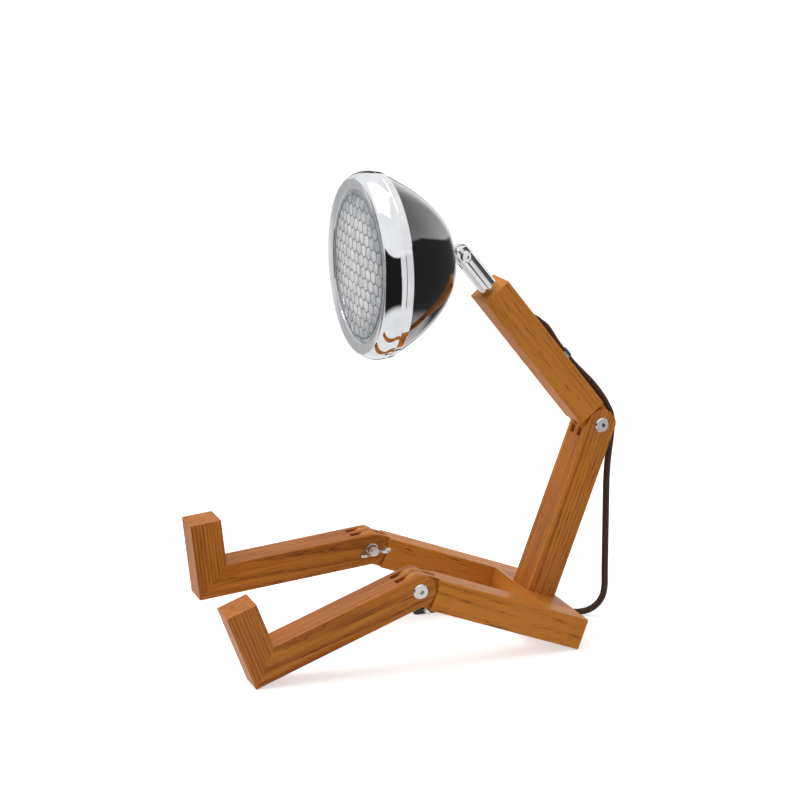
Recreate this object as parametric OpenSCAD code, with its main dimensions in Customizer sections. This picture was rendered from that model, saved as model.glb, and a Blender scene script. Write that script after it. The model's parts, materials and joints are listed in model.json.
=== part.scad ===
// Desk lamp shaped like a sitting figure: wooden beams on finger joints,
// a round headlamp for a head, and a textile cord down its back.
// Millimetres. +Z is up, the figure faces -Y, its left side is +X.
// The origin is the middle of the lamp's own box, on the surface it stands on.

/* [Wooden beams] */
// Width of every beam, across the figure
beam_w = 35; // [30:1:40]
// Depth of every beam, in the plane it bends in
beam_d = 30; // [26:1:34]
// Radius of the rounded long edges
edge_r = 1.2; // [0.6:0.2:2]

/* [Pelvis] */
// Outer width across both thighs
pelvis_w = 176; // [150:2:200]
// Thigh from the rear end to the knee bolt
thigh_len = 173; // [150:1:195]
// Front to back depth of the block between the thighs
block_len = 42; // [38:1:50]
// Diameter of the dowels that join block and thighs
dowel_d = 8; // [6:1:10]
// How far each dowel reaches into the thigh and into the block
dowel_reach = 18; // [14:1:24]
// Rise of the thighs above level
thigh_rise = 20.7; // [16:0.1:24]

/* [Shins and feet] */
// Shin from the knee bolt to the heel
shin_len = 174; // [150:1:200]
// Foot from the sole to its tip
foot_len = 74.5; // [55:0.5:90]
// Fall of the raised right shin below level
right_shin_fall = 5.8; // [2:0.2:14]

/* [Torso] */
// Lower torso from its base to the hinge bolt
torso_len = 173; // [150:1:195]
// Chest from the hinge bolt to its top end
chest_len = 178; // [155:1:195]
// Forward bend of the chest against the lower torso
chest_bend = 59.4; // [50:0.2:68]
// Turn of the torso on the pelvis
waist_turn = 3.5; // [-8:0.5:8]

/* [Finger joints] */
// Number of layers in a joint: fingers and tongues together
joint_layers = 5; // [5]
// Free play on each side of a tongue
joint_play = 0.15; // [0.1:0.05:0.25]
// Gap between a rounded finger and the shoulder it turns against
shoulder_gap = 1; // [0.6:0.1:2]
// Gap between a rounded tongue and the floor of its slot
slot_gap = 2; // [1:0.5:3]

/* [Bolts and wing nuts] */
// Shank diameter of the joint bolts
bolt_d = 6; // [5:0.5:6.5]
// Diameter of the flat bolt heads
bolt_head_d = 14.5; // [12:0.5:18]
// Thickness of the flat bolt heads
bolt_head_h = 2; // [1.6:0.1:3]
// Hexagon socket across its corners
socket_d = 5.4; // [4:0.2:6]
// Radial clearance of a bolt in its bore
bolt_fit = 0.09; // [0.05:0.01:0.1]
// Diameter of the washers
washer_d = 13; // [12:0.5:18]
// Thickness of the washers
washer_h = 1.2; // [0.8:0.1:2]
// Diameter of a wing nut's hub at its base
hub_d = 11.5; // [9.5:0.5:12.5]
// Height of a wing nut's hub
hub_h = 7; // [5:0.5:9]
// Span of a wing nut over both wings
wing_span = 31; // [26:1:36]
// Thickness of the wings
wing_t = 2.4; // [1.6:0.2:3]
// Shank diameter of the bolt under the pelvis
waist_bolt_d = 8; // [6:0.5:8]
// Outer diameter of the threaded insert in the torso
insert_d = 12; // [11:0.5:14]
// Length of the threaded insert
insert_len = 20; // [14:1:26]

/* [Neck] */
// Diameter of the chrome neck tube
neck_d = 18.5; // [16:0.5:20]
// Bore of the neck tube
neck_bore_d = 10; // [8:0.5:11]
// Neck tube from the chest's end to the head's pivot
neck_reach = 44; // [40:1:52]
// Depth of the neck tube in the chest
neck_depth = 22; // [18:1:24]
// Turn of the neck in the chest
neck_turn = -3; // [-8:0.5:8]
// Thickness of the head's tongue
tongue_t = 6; // [5:0.5:7]
// Diameter of the head's pivot screw
pivot_d = 5; // [4:0.5:6]

/* [Head] */
// Step in from the bowl's radius to the flat front rim
rim_step = 4; // [3:0.1:6]
// Swell of the bezel past the bowl's radius
bezel_swell = 2.2; // [2:0.1:4]
// Distance from the front rim to the bezel's largest radius
bezel_bulge = 14; // [10:0.5:18]
// Distance from the front rim to the bezel's rear lip
bezel_depth = 25.6; // [23:0.2:30]
// Radius of the black bowl where it leaves the bezel
bowl_r = 84; // [76:0.5:92]
// Depth of the head from the rim to the bowl's back
head_depth = 91.3; // [84:0.5:100]
// Wall of the bowl
bowl_wall = 1.6; // [1:0.1:2.5]
// Wall of the bezel
bezel_wall = 1.4; // [1:0.1:2]
// Step in from the bowl's radius to the lens's edge
lens_step = 11; // [9:0.5:14]
// Thickness of the glass lens
lens_t = 3; // [2:0.5:4]
// Rise of the lens at its middle
lens_rise = 5; // [3:0.5:8]
// Distance of the bowl's back from the pivot
pivot_to_bowl = 13; // [12:0.5:18]
// Drop of the head's axis below the pivot
axis_drop = 4; // [2:0.5:6]
// Diameter of the bulb
bulb_d = 45; // [38:1:50]
// Diameter of the lamp holder
holder_d = 30; // [28:1:34]

/* [Cord] */
// Diameter of the textile cord
cord_d = 6.5; // [6:0.1:7]
// Length of the tapered sleeve that the cord leaves through
sleeve_len = 28; // [20:1:34]
// Large end of the sleeve, in the chest
sleeve_d = 11; // [10:0.5:12]
// Distance of the cord clip from the chest's top end
clip_at = 104; // [100:1:108]
// Length of the clip along the cord
clip_len = 8; // [6:0.5:10]
// Wall of the clip
clip_wall = 1; // [0.8:0.1:1.4]

/* [Switch and plug] */
// Length of the switch on the cord
switch_len = 62; // [56:1:70]
// Width of the switch
switch_w = 26; // [22:1:32]
// Height of the switch
switch_h = 17; // [15:1:20]
// Length of the plug's body
plug_len = 36; // [32:1:42]
// Width of the plug's body
plug_w = 35; // [33:0.5:38]
// Height of the plug's body
plug_h = 13.4; // [12:0.2:15]
// Diameter of the plug's pins
pin_d = 4; // [4]
// Length of the plug's pins
pin_len = 19; // [19]
// Distance between the plug's pins
pin_pitch = 18.6; // [17.5:0.1:19]

/* [Hidden] */

// Colours
TEAK = [0.62, 0.36, 0.15];
TEAK_PALE = [0.70, 0.45, 0.22];
CHROME = [0.82, 0.83, 0.85];
ZINC = [0.80, 0.80, 0.78];
BLACK = [0.03, 0.03, 0.035];
GLASS = [0.85, 0.92, 0.95, 0.45];
TEXTILE = [0.23, 0.15, 0.10];

// Facets of true circles, and steps of a rounded edge and of a turned profile
$fn = 48;
EDGE_STEPS = 3;
PROFILE_STEPS = 18;
// Overrun that makes a cut pass a face
OVER = 1;

// Derived sizes of the joints
finger_r = beam_d / 2;
layer_t = beam_w / joint_layers;
shoulder = finger_r + shoulder_gap;
slot_depth = finger_r + slot_gap;
tongue_w = layer_t - 2 * joint_play;
bore_d = bolt_d + 2 * bolt_fit;
bolt_tail = washer_h + hub_h + 2;
leg_x = (pelvis_w - beam_w) / 2;
block_w = pelvis_w - 2 * beam_w;
torso_at = block_len / 2;

// Derived sizes of the head
bezel_r = bowl_r + bezel_swell;
rim_r = bowl_r - rim_step;
lens_r = bowl_r - lens_step;
bowl_depth = head_depth - bezel_depth;
BOWL_POWER = 2.5;
lens_seat = 2.2;
reflector_front = 8.4;
reflector_wall = 1;
holder_len = 28;
lead_run = 16;
bulb_neck_d = 17;

// Pose. A shin's fall that sets its heel on the surface the pelvis rests on.
knee_up = thigh_len * sin(thigh_rise) + finger_r * cos(thigh_rise);
left_shin_fall = asin(knee_up / norm([shin_len, finger_r])) - atan(finger_r / shin_len);
chest_lean = chest_bend - thigh_rise;

// The lamp's foremost and rearmost points before it is centred on the origin
knee_fore = thigh_len * cos(thigh_rise) - finger_r * sin(thigh_rise);
toe_fore = knee_fore + shin_len * cos(left_shin_fall) + (foot_len - finger_r) * sin(left_shin_fall);
waist_side = sin(waist_turn) * cos(thigh_rise);
hinge_aft = (beam_d + torso_len) * sin(thigh_rise) - torso_at * cos(thigh_rise);
back_aft = hinge_aft + finger_r * sqrt(1 - waist_side * waist_side) + beam_w / 2 * abs(waist_side);
back_shift = (toe_fore - back_aft) / 2;

// A point of the chest's frame in the world, before the lamp is centred
function turn_x(p, a) = [p.x, p.y * cos(a) - p.z * sin(a), p.y * sin(a) + p.z * cos(a)];
function turn_z(p, a) = [p.x * cos(a) - p.y * sin(a), p.x * sin(a) + p.y * cos(a), p.z];
function off_centre(p) = let (on_torso = turn_x(p, chest_bend) + [0, 0, torso_len])
    turn_x(turn_z(on_torso, waist_turn) + [0, -torso_at, beam_d], -thigh_rise);

// The head reaches past the left leg's bolt, so the lamp is centred between the two
rim_middle = off_centre([0, 0, chest_len + neck_reach]
    + turn_z(turn_x([0, bezel_bulge - pivot_to_bowl - head_depth, -axis_drop], -chest_lean), neck_turn));
right_reach = pelvis_w / 2 + bolt_head_h;
centre_shift = [(right_reach - rim_middle.x - bezel_r) / 2, back_shift, 0];

// Cord. Its route is a chain of points chosen by hand, in three frames.
CORD_SIDES = 10;
// In the chest's frame, [back, up]: from the neck through the sleeve and the clip to the hinge
ALONG_CHEST = [
    [0, 163], [0.2, 158], [1.1, 154], [2.4, 150.5], [5.8, 143.4], [11.7, 130.7], [17.6, 118],
    [19.4, 113], [20.1, 107], [19.8, 101], [19, 94], [18.5, 86], [18.4, 78], [18.4, 70],
    [18.4, 66], [18.8, 58], [19.9, 47], [21.3, 34], [21.6, 21]
];
// From the hinge bolt, in the world's directions, [back, up]
ROUND_HINGE = [
    [11.4, 18.8], [14.4, 13], [16.9, 8.2], [18.4, 3.2], [18.9, -2], [18.8, -9], [18, -18],
    [16.7, -28], [15.4, -39], [14.5, -51], [14, -64]
];
// On the pelvis's floor frame, [x, y, z]: the foot of the drop, then along the surface to the switch
DROP_HEIGHTS = [120, 105, 90, 75, 60, 45];
TO_SWITCH = [
    [0, 65.5, 28.8], [-0.5, 63.6, 19], [-1.9, 58.3, 10.7], [-4.1, 50.3, 5.2], [-6.6, 40.9, 3.25],
    [-11.7, 31.1, 3.25], [-20.4, 24.4, 3.25], [-30, 22, 3.6], [-37, 22, 4.8], [-41, 22, 5], [-46, 22, 5]
];
// From the switch's far end to the coil, and from the coil to the plug
TO_COIL = [
    [-111, 22, 5], [-116.5, 20.9, 4.3], [-124, 16.9, 3.5], [-130, 10.9, 3.25], [-136, 4.9, 3.25], [-142, 1, 3.25]
];
TO_PLUG = [[-141, -91.9, 9.7], [-134, -92, 8.6], [-127, -92, 7.3], [-120, -92, 6.7], [-114, -92, 6.7]];
// Coil of the spare length: 2 layers, in and out again
COIL_AT = [-158, -46];
COIL_TURNS = 5.5;
COIL_RINGS = 24;
COIL_SIDES = 6;
coil_pitch = cord_d + 0.5;
coil_rise = cord_d + 0.5;
coil_min_r = 4 * cord_d + 0.5;
plug_relief_len = 16;
PIN_ROOT = 11;
PIN_TIP = 1.2;
pin_root_d = pin_d - 0.6;

// Hinge bolt of the chest from the pelvis's rear edge
hinge_up = (beam_d + torso_len) * cos(thigh_rise) + torso_at * sin(thigh_rise);

// The sleeve's slope against the chest's back, and its two ends there
SLEEVE_SLOPE = 25;
SLEEVE_TIP = [17.6, 118];

// ---------- frames: each places its children in the world at rest ----------

// The pelvis: origin at the middle of its rear bottom edge, thighs along -Y
module at_pelvis() {
    translate(centre_shift) rotate([-thigh_rise, 0, 0]) children();
}

// A knee: origin on the bolt, the shin along -Y. side is 1 left, -1 right
module at_knee(side, fall) {
    at_pelvis()
        translate([side * leg_x, -thigh_len, finger_r])
            rotate([thigh_rise + fall, 0, 0]) children();
}

// The lower torso: origin at the middle of its base, the beam along +Z
module at_torso() {
    at_pelvis() translate([0, -torso_at, beam_d]) rotate([0, 0, waist_turn]) children();
}

// The chest: origin on the hinge bolt, the beam along +Z
module at_chest() {
    at_torso() translate([0, 0, torso_len]) rotate([chest_bend, 0, 0]) children();
}

// The neck: origin at the middle of the chest's top end, the tube along +Z
module at_neck() {
    at_chest() translate([0, 0, chest_len]) rotate([0, 0, neck_turn]) children();
}

// The head: origin on its pivot, facing -Y
module at_head() {
    at_neck() translate([0, 0, neck_reach]) rotate([-chest_lean, 0, 0]) children();
}

// The head's axis: origin at the middle of the front rim, +Z towards the back
module at_rim() {
    at_head()
        translate([0, -pivot_to_bowl - head_depth, -axis_drop])
            rotate([-90, 0, 0]) children();
}

// ---------- timber ----------

// Corner points of a rectangle with rounded corners
function rounded_rect(w, d, r) = [
    for (c = [0:3], k = [0:EDGE_STEPS])
        let (a = 90 * c + 90 * k / EDGE_STEPS,
             sx = c == 0 || c == 3 ? 1 : -1,
             sy = c < 2 ? 1 : -1)
            [sx * (w / 2 - r) + r * cos(a), sy * (d / 2 - r) + r * sin(a)]
];

// Beam along +Z with rounded long edges
module beam(len) {
    linear_extrude(height = len) polygon(rounded_rect(beam_w, beam_d, edge_r));
}

// Bolt or pin along X, centred on x = 0
module x_rod(d, len) {
    rotate([0, 90, 0]) cylinder(d = d, h = len, center = true);
}

// Middle of a joint's layer, counted from -X
function layer_x(i) = (i - (joint_layers - 1) / 2) * layer_t;

// Beam from z = 0 to a rounded end about its bolt at z = len, with slots that leave three fingers
module fingered_beam(len) {
    difference() {
        intersection() {
            beam(len + finger_r);
            union() {
                translate([-beam_w, -beam_d, -OVER]) cube([2 * beam_w, 2 * beam_d, len + OVER]);
                translate([0, 0, len]) x_rod(2 * finger_r, 2 * beam_w);
            }
        }
        for (i = [1:2:joint_layers - 2])
            translate([layer_x(i) - layer_t / 2, -beam_d, len - slot_depth])
                cube([layer_t, 2 * beam_d, slot_depth + finger_r + OVER]);
        translate([0, 0, len]) x_rod(bore_d, 2 * beam_w);
    }
}

// Beam from z = 0 with two tongues, rounded about their bolt at z = len
module tongued_beam(len) {
    difference() {
        union() {
            beam(len - shoulder);
            for (i = [1:2:joint_layers - 2])
                translate([layer_x(i) - tongue_w / 2, 0, 0]) {
                    translate([0, -finger_r, len - shoulder - OVER])
                        cube([tongue_w, beam_d, shoulder + OVER]);
                    translate([tongue_w / 2, 0, len]) x_rod(2 * finger_r, tongue_w);
                }
        }
        translate([0, 0, len]) x_rod(bore_d, 2 * beam_w);
    }
}

// ---------- fasteners: each along X, its origin at the middle of the joint ----------

// Bolt with a flat head on side s, a hexagon socket, and its tail past the far side
module joint_bolt(s) {
    color(ZINC) rotate([0, s * 90, 0]) difference() {
        union() {
            translate([0, 0, -beam_w / 2 - bolt_tail])
                cylinder(d = bolt_d, h = beam_w + bolt_tail + bolt_head_h / 2);
            translate([0, 0, beam_w / 2]) rotate_extrude() bolt_head_outline(bolt_head_d, bolt_head_h);
        }
        translate([0, 0, beam_w / 2 - bolt_head_h / 2])
            cylinder(d = socket_d, h = 2 * bolt_head_h, $fn = 6);
    }
}

// Half outline of a flat head with a chamfered rim
module bolt_head_outline(d, h) {
    polygon([[0, 0], [d / 2, 0], [d / 2, h * 0.45], [d / 2 - h * 0.55, h], [0, h]]);
}

// Washer that lies on the joint's side away from the bolt's head
module joint_washer(s) {
    color(ZINC) rotate([0, s * 90, 0])
        translate([0, 0, -beam_w / 2 - washer_h]) ring(washer_d, bore_d, washer_h);
}

// Plain ring along +Z
module ring(outer_d, inner_d, h) {
    difference() {
        cylinder(d = outer_d, h = h);
        translate([0, 0, -OVER]) cylinder(d = inner_d, h = h + 2 * OVER);
    }
}

// Wing nut on the washer: tapered hub and two rounded wings, tipped up towards their ends
module wing_nut(s) {
    wing_r = wing_span / 2;
    ear_r = 4.6;
    ear_up = hub_h + ear_r * 0.75;
    color(CHROME) rotate([0, s * 90, 0])
        translate([0, 0, -beam_w / 2 - washer_h]) mirror([0, 0, 1]) difference() {
            union() {
                cylinder(d1 = hub_d, d2 = hub_d * 0.8, h = hub_h);
                for (turn = [0, 180]) rotate([90, 0, turn])
                    translate([0, 0, -wing_t / 2]) linear_extrude(height = wing_t) {
                        translate([wing_r - ear_r, ear_up]) circle(r = ear_r);
                        polygon([
                            [hub_d / 4, 1], [hub_d / 2, 1], [wing_r - ear_r * 0.3, ear_up - ear_r * 0.95],
                            [wing_r - ear_r * 1.7, ear_up + ear_r * 0.7], [hub_d / 2 - 1, hub_h], [hub_d / 4, hub_h]
                        ]);
                    }
            }
            translate([0, 0, -OVER]) cylinder(d = bore_d, h = hub_h + ear_up + OVER);
        }
}

// ---------- pelvis ----------

module thigh(side) {
    color(TEAK_PALE) at_pelvis() difference() {
        translate([side * leg_x, 0, finger_r]) rotate([90, 0, 0]) tongued_beam(thigh_len);
        hip_dowel_holes();
    }
}
module left_thigh() { thigh(1); }
module right_thigh() { thigh(-1); }

// Children at the middle of each of the four dowels, on both glue lines
module at_dowels() {
    for (side = [-1, 1], place = [1, 3])
        translate([side * block_w / 2, -block_len * place / 4, finger_r]) children();
}

module hip_dowel_holes() {
    at_dowels() x_rod(dowel_d + 2 * joint_play, 2 * dowel_reach + 2);
}

module hip_dowels() {
    color(TEAK_PALE) at_pelvis() at_dowels() x_rod(dowel_d, 2 * dowel_reach);
}

// Block between the thighs, drilled for the waist bolt and its sunk head
module hip_block() {
    sink = bolt_head_h + washer_h + 1;
    color(TEAK) at_pelvis() difference() {
        translate([-block_w / 2, -block_len, 0]) cube([block_w, block_len, beam_d]);
        translate([0, -torso_at, -OVER]) {
            cylinder(d = waist_bolt_d + 2 * bolt_fit, h = beam_d + 2 * OVER);
            cylinder(d = washer_d + 4, h = sink + OVER);
        }
        hip_dowel_holes();
    }
}

// Bolt from below through the block into the torso's insert
module waist_bolt() {
    sink = bolt_head_h + washer_h + 1;
    color(ZINC) at_pelvis() translate([0, -torso_at, sink - washer_h]) difference() {
        union() {
            cylinder(d = waist_bolt_d, h = beam_d - sink + washer_h + insert_len - 3);
            mirror([0, 0, 1]) rotate_extrude() bolt_head_outline(washer_d, bolt_head_h);
        }
        translate([0, 0, -2 * bolt_head_h]) cylinder(d = socket_d, h = 2.5 * bolt_head_h, $fn = 6);
    }
}

module waist_washer() {
    sink = bolt_head_h + washer_h + 1;
    color(ZINC) at_pelvis() translate([0, -torso_at, sink - washer_h])
        ring(washer_d + 2, waist_bolt_d + 2 * bolt_fit, washer_h);
}

// ---------- legs ----------

// Shin on its knee: three fingers at the bolt, the heel's end cut at 45 degrees
module shin(side, fall) {
    color(TEAK) at_knee(side, fall) difference() {
        rotate([90, 0, 0]) translate([0, 0, shin_len]) mirror([0, 0, 1]) fingered_beam(shin_len);
        heel_mitre(1);
    }
}

// The half space beyond the heel's 45 degree cut, seen from the shin (1) or from the foot (-1)
module heel_mitre(keep) {
    reach = 3 * beam_d;
    translate([0, -shin_len, -finger_r]) rotate([45, 0, 0])
        translate([-beam_w, -reach, keep > 0 ? 0 : -reach]) cube([2 * beam_w, 2 * reach, reach]);
}

module foot(side, fall) {
    color(TEAK) at_knee(side, fall) difference() {
        translate([0, -shin_len + beam_d / 2, -finger_r]) beam(foot_len);
        heel_mitre(-1);
    }
}

module left_shin() { shin(1, left_shin_fall); }
module right_shin() { shin(-1, right_shin_fall); }
module left_foot() { foot(1, left_shin_fall); }
module right_foot() { foot(-1, right_shin_fall); }

module left_knee_bolt() { at_knee(1, left_shin_fall) joint_bolt(1); }
module left_knee_washer() { at_knee(1, left_shin_fall) joint_washer(1); }
module left_wing_nut() { at_knee(1, left_shin_fall) wing_nut(1); }
module right_knee_bolt() { at_knee(-1, right_shin_fall) joint_bolt(-1); }
module right_knee_washer() { at_knee(-1, right_shin_fall) joint_washer(-1); }
module right_wing_nut() { at_knee(-1, right_shin_fall) wing_nut(-1); }

// ---------- torso ----------

module lower_torso() {
    color(TEAK) at_torso() difference() {
        fingered_beam(torso_len);
        translate([0, 0, -OVER]) cylinder(d = insert_d + 2 * bolt_fit, h = insert_len + OVER);
    }
}

module waist_insert() {
    color("goldenrod") at_torso() ring(insert_d, waist_bolt_d + 2 * bolt_fit, insert_len - 0.2);
}

module chest_bolt() { at_torso() translate([0, 0, torso_len]) joint_bolt(1); }
module chest_washer() { at_torso() translate([0, 0, torso_len]) joint_washer(1); }
module chest_wing_nut() { at_torso() translate([0, 0, torso_len]) wing_nut(1); }

// Chest: bored from its top end for the neck, with a lead channel out through its back
module chest() {
    color(TEAK) at_chest() difference() {
        translate([0, 0, chest_len]) mirror([0, 0, 1]) tongued_beam(chest_len);
        translate([0, 0, chest_len - neck_depth])
            cylinder(d = neck_d + 2 * bolt_fit, h = neck_depth + OVER);
        at_sleeve_tip() cylinder(d = sleeve_d + 2 * bolt_fit, h = sleeve_len + lead_run);
    }
}

// Origin at the sleeve's small end, +Z up the sleeve into the chest
module at_sleeve_tip() {
    translate([0, SLEEVE_TIP[0], SLEEVE_TIP[1]]) rotate([SLEEVE_SLOPE, 0, 0]) children();
}

// Tapered sleeve in the chest's back that the cord leaves through
module cord_sleeve() {
    taper = sleeve_len * 0.6;
    color(BLACK) at_chest() at_sleeve_tip() difference() {
        union() {
            cylinder(d1 = cord_d + 1.8, d2 = sleeve_d, h = taper);
            translate([0, 0, taper]) cylinder(d = sleeve_d, h = sleeve_len - taper);
        }
        translate([0, 0, -OVER]) cylinder(d = cord_d + 0.6, h = sleeve_len + 2 * OVER);
    }
}

// Saddle clip over the cord on the chest's back, with a foot on each side
module cord_clip() {
    arch = cord_d / 2 + 0.3 + clip_wall;
    color(CHROME) at_chest() translate([0, finger_r, chest_len - clip_at - clip_len / 2])
        difference() {
            union() {
                translate([0, cord_d / 2 + 0.3, 0]) cylinder(r = arch, h = clip_len);
                translate([-arch, 0, 0]) cube([2 * arch, cord_d / 2 + 0.3, clip_len]);
                translate([-clip_foot, 0, 0]) cube([2 * clip_foot, clip_wall, clip_len]);
            }
            translate([0, cord_d / 2 + 0.3, -OVER]) cylinder(r = cord_d / 2 + 0.3, h = clip_len + 2 * OVER);
            translate([-cord_d / 2 - 0.3, -OVER, -OVER])
                cube([cord_d + 0.6, cord_d / 2 + 0.3 + OVER, clip_len + 2 * OVER]);
            at_clip_screws() cylinder(d = 2.7, h = beam_d, center = true);
        }
}

clip_foot = 10;

module at_clip_screws() {
    for (side = [-1, 1])
        translate([side * (clip_foot + cord_d / 2 + clip_wall) / 2, 0, clip_len / 2]) rotate([-90, 0, 0]) children();
}

module clip_screws() {
    color(ZINC) at_chest() translate([0, finger_r, chest_len - clip_at - clip_len / 2])
        at_clip_screws() {
            translate([0, 0, clip_wall]) rotate_extrude() bolt_head_outline(4.6, 1.2);
            translate([0, 0, 0.1]) cylinder(d = 2.5, h = clip_wall);
        }
}

// ---------- cord ----------

// A point of the chest's frame, of the hinge bolt's and of the floor's, in the world
function from_chest(p) = off_centre(p) + centre_shift;
function from_hinge(p) = centre_shift + [0, hinge_aft + p[0], hinge_up + p[1]];
function from_floor(p) = p + centre_shift;

// The drop hangs from the hinge's last point to the foot of the drop
foot_of_drop = from_floor(TO_SWITCH[0]);
head_of_drop = from_hinge(ROUND_HINGE[len(ROUND_HINGE) - 1]);
function on_drop(z) =
    let (f = (head_of_drop.z - z) / (head_of_drop.z - foot_of_drop.z))
        [head_of_drop.x, head_of_drop.y + (foot_of_drop.y - head_of_drop.y) * f, z];

// The whole way from the neck to the switch, and the places where one piece ends and the next begins
route = concat(
    [for (p = ALONG_CHEST) from_chest([0, p[0], p[1]])],
    [for (p = ROUND_HINGE) from_hinge(p)],
    [for (z = DROP_HEIGHTS) on_drop(z)],
    [for (p = TO_SWITCH) from_floor(p)]
);
clip_end = 14;
hang_start = len(ALONG_CHEST) + len(ROUND_HINGE) - 1;
floor_start = len(route) - 7;
route_end = len(route) - 1;

function unit(v) = v / norm(v);
function carry(n, t) = unit(n - t * (n * t));
function tangents(pts) = let (last = len(pts) - 1)
    [for (i = [0:last]) unit(pts[min(i + 1, last)] - pts[max(i - 1, 0)])];

// Cross vectors of the rings, carried along so that the tube doesn't twist
function cross_vectors(t) = [
    for (i = 0, n = carry([0.1, 0.2, 1], t[0]); i < len(t); i = i + 1, n = carry(n, t[min(i, len(t) - 1)])) n
];

// Rings of a tube about the points from one index to another
function rings(pts, first, last, r, sides) = let (t = tangents(pts), n = cross_vectors(t)) [
    for (i = [first:last], k = [0:sides - 1])
        pts[i] + r * (cos(360 * k / sides) * n[i] + sin(360 * k / sides) * cross(t[i], n[i]))
];

// One closed tube through its rings
module tube(pts, first, last, sides = CORD_SIDES) {
    count = last - first + 1;
    end = (count - 1) * sides;
    polyhedron(
        points = rings(pts, first, last, cord_d / 2, sides),
        faces = concat(
            [[for (k = [0:sides - 1]) k]],
            [for (i = [0:count - 2], k = [0:sides - 1])
                [i * sides + k, (i + 1) * sides + k, i * sides + (k + 1) % sides]],
            [for (i = [0:count - 2], k = [0:sides - 1])
                [(i + 1) * sides + k, (i + 1) * sides + (k + 1) % sides, i * sides + (k + 1) % sides]],
            [[for (k = [sides - 1:-1:0]) end + k]]
        )
    );
}

module cord_back() { color(TEXTILE) tube(route, 0, clip_end); }
module cord_bend() { color(TEXTILE) tube(route, clip_end, hang_start); }
module cord_drop() { color(TEXTILE) tube(route, hang_start, floor_start); }
module cord_floor() { color(TEXTILE) tube(route, floor_start, route_end); }

// Coil: radius and height at a number of turns from its start
function coil_r(t) = coil_min_r + coil_pitch * abs(t - COIL_TURNS / 2);
function coil_z(t) =
    let (f = min(1, max(0, 0.5 + 2 * (t - COIL_TURNS / 2)))) cord_d / 2 + coil_rise * (1 - cos(180 * f)) / 2;
function coil_point(t) = let (a = 90 + 360 * t)
    from_floor([COIL_AT[0] + coil_r(t) * cos(a), COIL_AT[1] + coil_r(t) * sin(a), coil_z(t)]);
coil_line = concat(
    [coil_point(0) + [cord_d, 0, 0]],
    [for (k = [0:COIL_TURNS * COIL_RINGS]) coil_point(k / COIL_RINGS)],
    [coil_point(COIL_TURNS) + [cord_d, 0, 0]]
);
coil_gap = min([
    for (i = [0:len(coil_line) - 1], k = [i + 8:1:len(coil_line) - 1]) norm(coil_line[k] - coil_line[i])
]) - cord_d;
echo(coil_gap = coil_gap);

module cord_coil() { color(TEXTILE) tube(coil_line, 0, len(coil_line) - 1, COIL_SIDES); }

// The switch's two ends lie on the cord's line
switch_in = route[route_end];
switch_out = switch_in - [switch_len, 0, 0];
coil_in = coil_line[0];
coil_out = coil_line[len(coil_line) - 1];
link_line = concat([switch_out], [for (p = TO_COIL) from_floor(p)], [coil_in + [4, 0, 0], coil_in]);
tail_line = concat([coil_out, coil_out + [4, 0, 0]], [for (p = TO_PLUG) from_floor(p)]);
plug_in = tail_line[len(tail_line) - 1];

module cord_link() { color(TEXTILE) tube(link_line, 0, len(link_line) - 1); }
module cord_tail() { color(TEXTILE) tube(tail_line, 0, len(tail_line) - 1); }

function line_length(pts) = len(pts) < 2 ? 0 : [for (i = 0, s = 0; i < len(pts); i = i + 1,
    s = s + (i < len(pts) ? norm(pts[i] - pts[i - 1]) : 0)) s][len(pts) - 1];
echo(cord_length = line_length(route) + switch_len + line_length(link_line)
    + line_length(coil_line) + line_length(tail_line));

// ---------- switch and plug ----------

split_h = switch_h * 0.5;
SWITCH_WALL = 2;
ROCKER = [14, 9];
ROCKER_TILT = 7;
rocker_pivot_up = switch_h - 2.4;

// The switch's middle on the surface
module at_switch() {
    translate([switch_in.x - switch_len / 2, switch_in.y, 0]) children();
}

// Outline of the switch from above, smaller by an inset
module switch_outline(inset) {
    half = switch_len / 2 - inset;
    w = switch_w / 2 - inset;
    nose = 5 - inset / 2;
    polygon([
        [half, -nose], [half, nose], [half - 14, w], [14 - half, w], [-half, nose],
        [-half, -nose], [14 - half, -w], [half - 14, -w]
    ]);
}

module switch_base() {
    color(BLACK) at_switch() difference() {
        linear_extrude(height = split_h) switch_outline(0);
        translate([0, 0, SWITCH_WALL]) linear_extrude(height = split_h) switch_outline(SWITCH_WALL);
        at_switch_screws() {
            cylinder(d = 5, h = 2 * SWITCH_WALL - 1, center = true);
            cylinder(d = 2.6, h = 3 * SWITCH_WALL, center = true);
        }
    }
}

module at_switch_screws() {
    for (side = [-1, 1]) translate([side * switch_len * 0.3, 0, 0]) children();
}

module switch_screws() {
    color(ZINC) at_switch() at_switch_screws() {
        translate([0, 0, 0.3]) cylinder(d = 4.8, h = 1.2);
        cylinder(d = 2.4, h = switch_h - 2 * SWITCH_WALL);
    }
}

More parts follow.
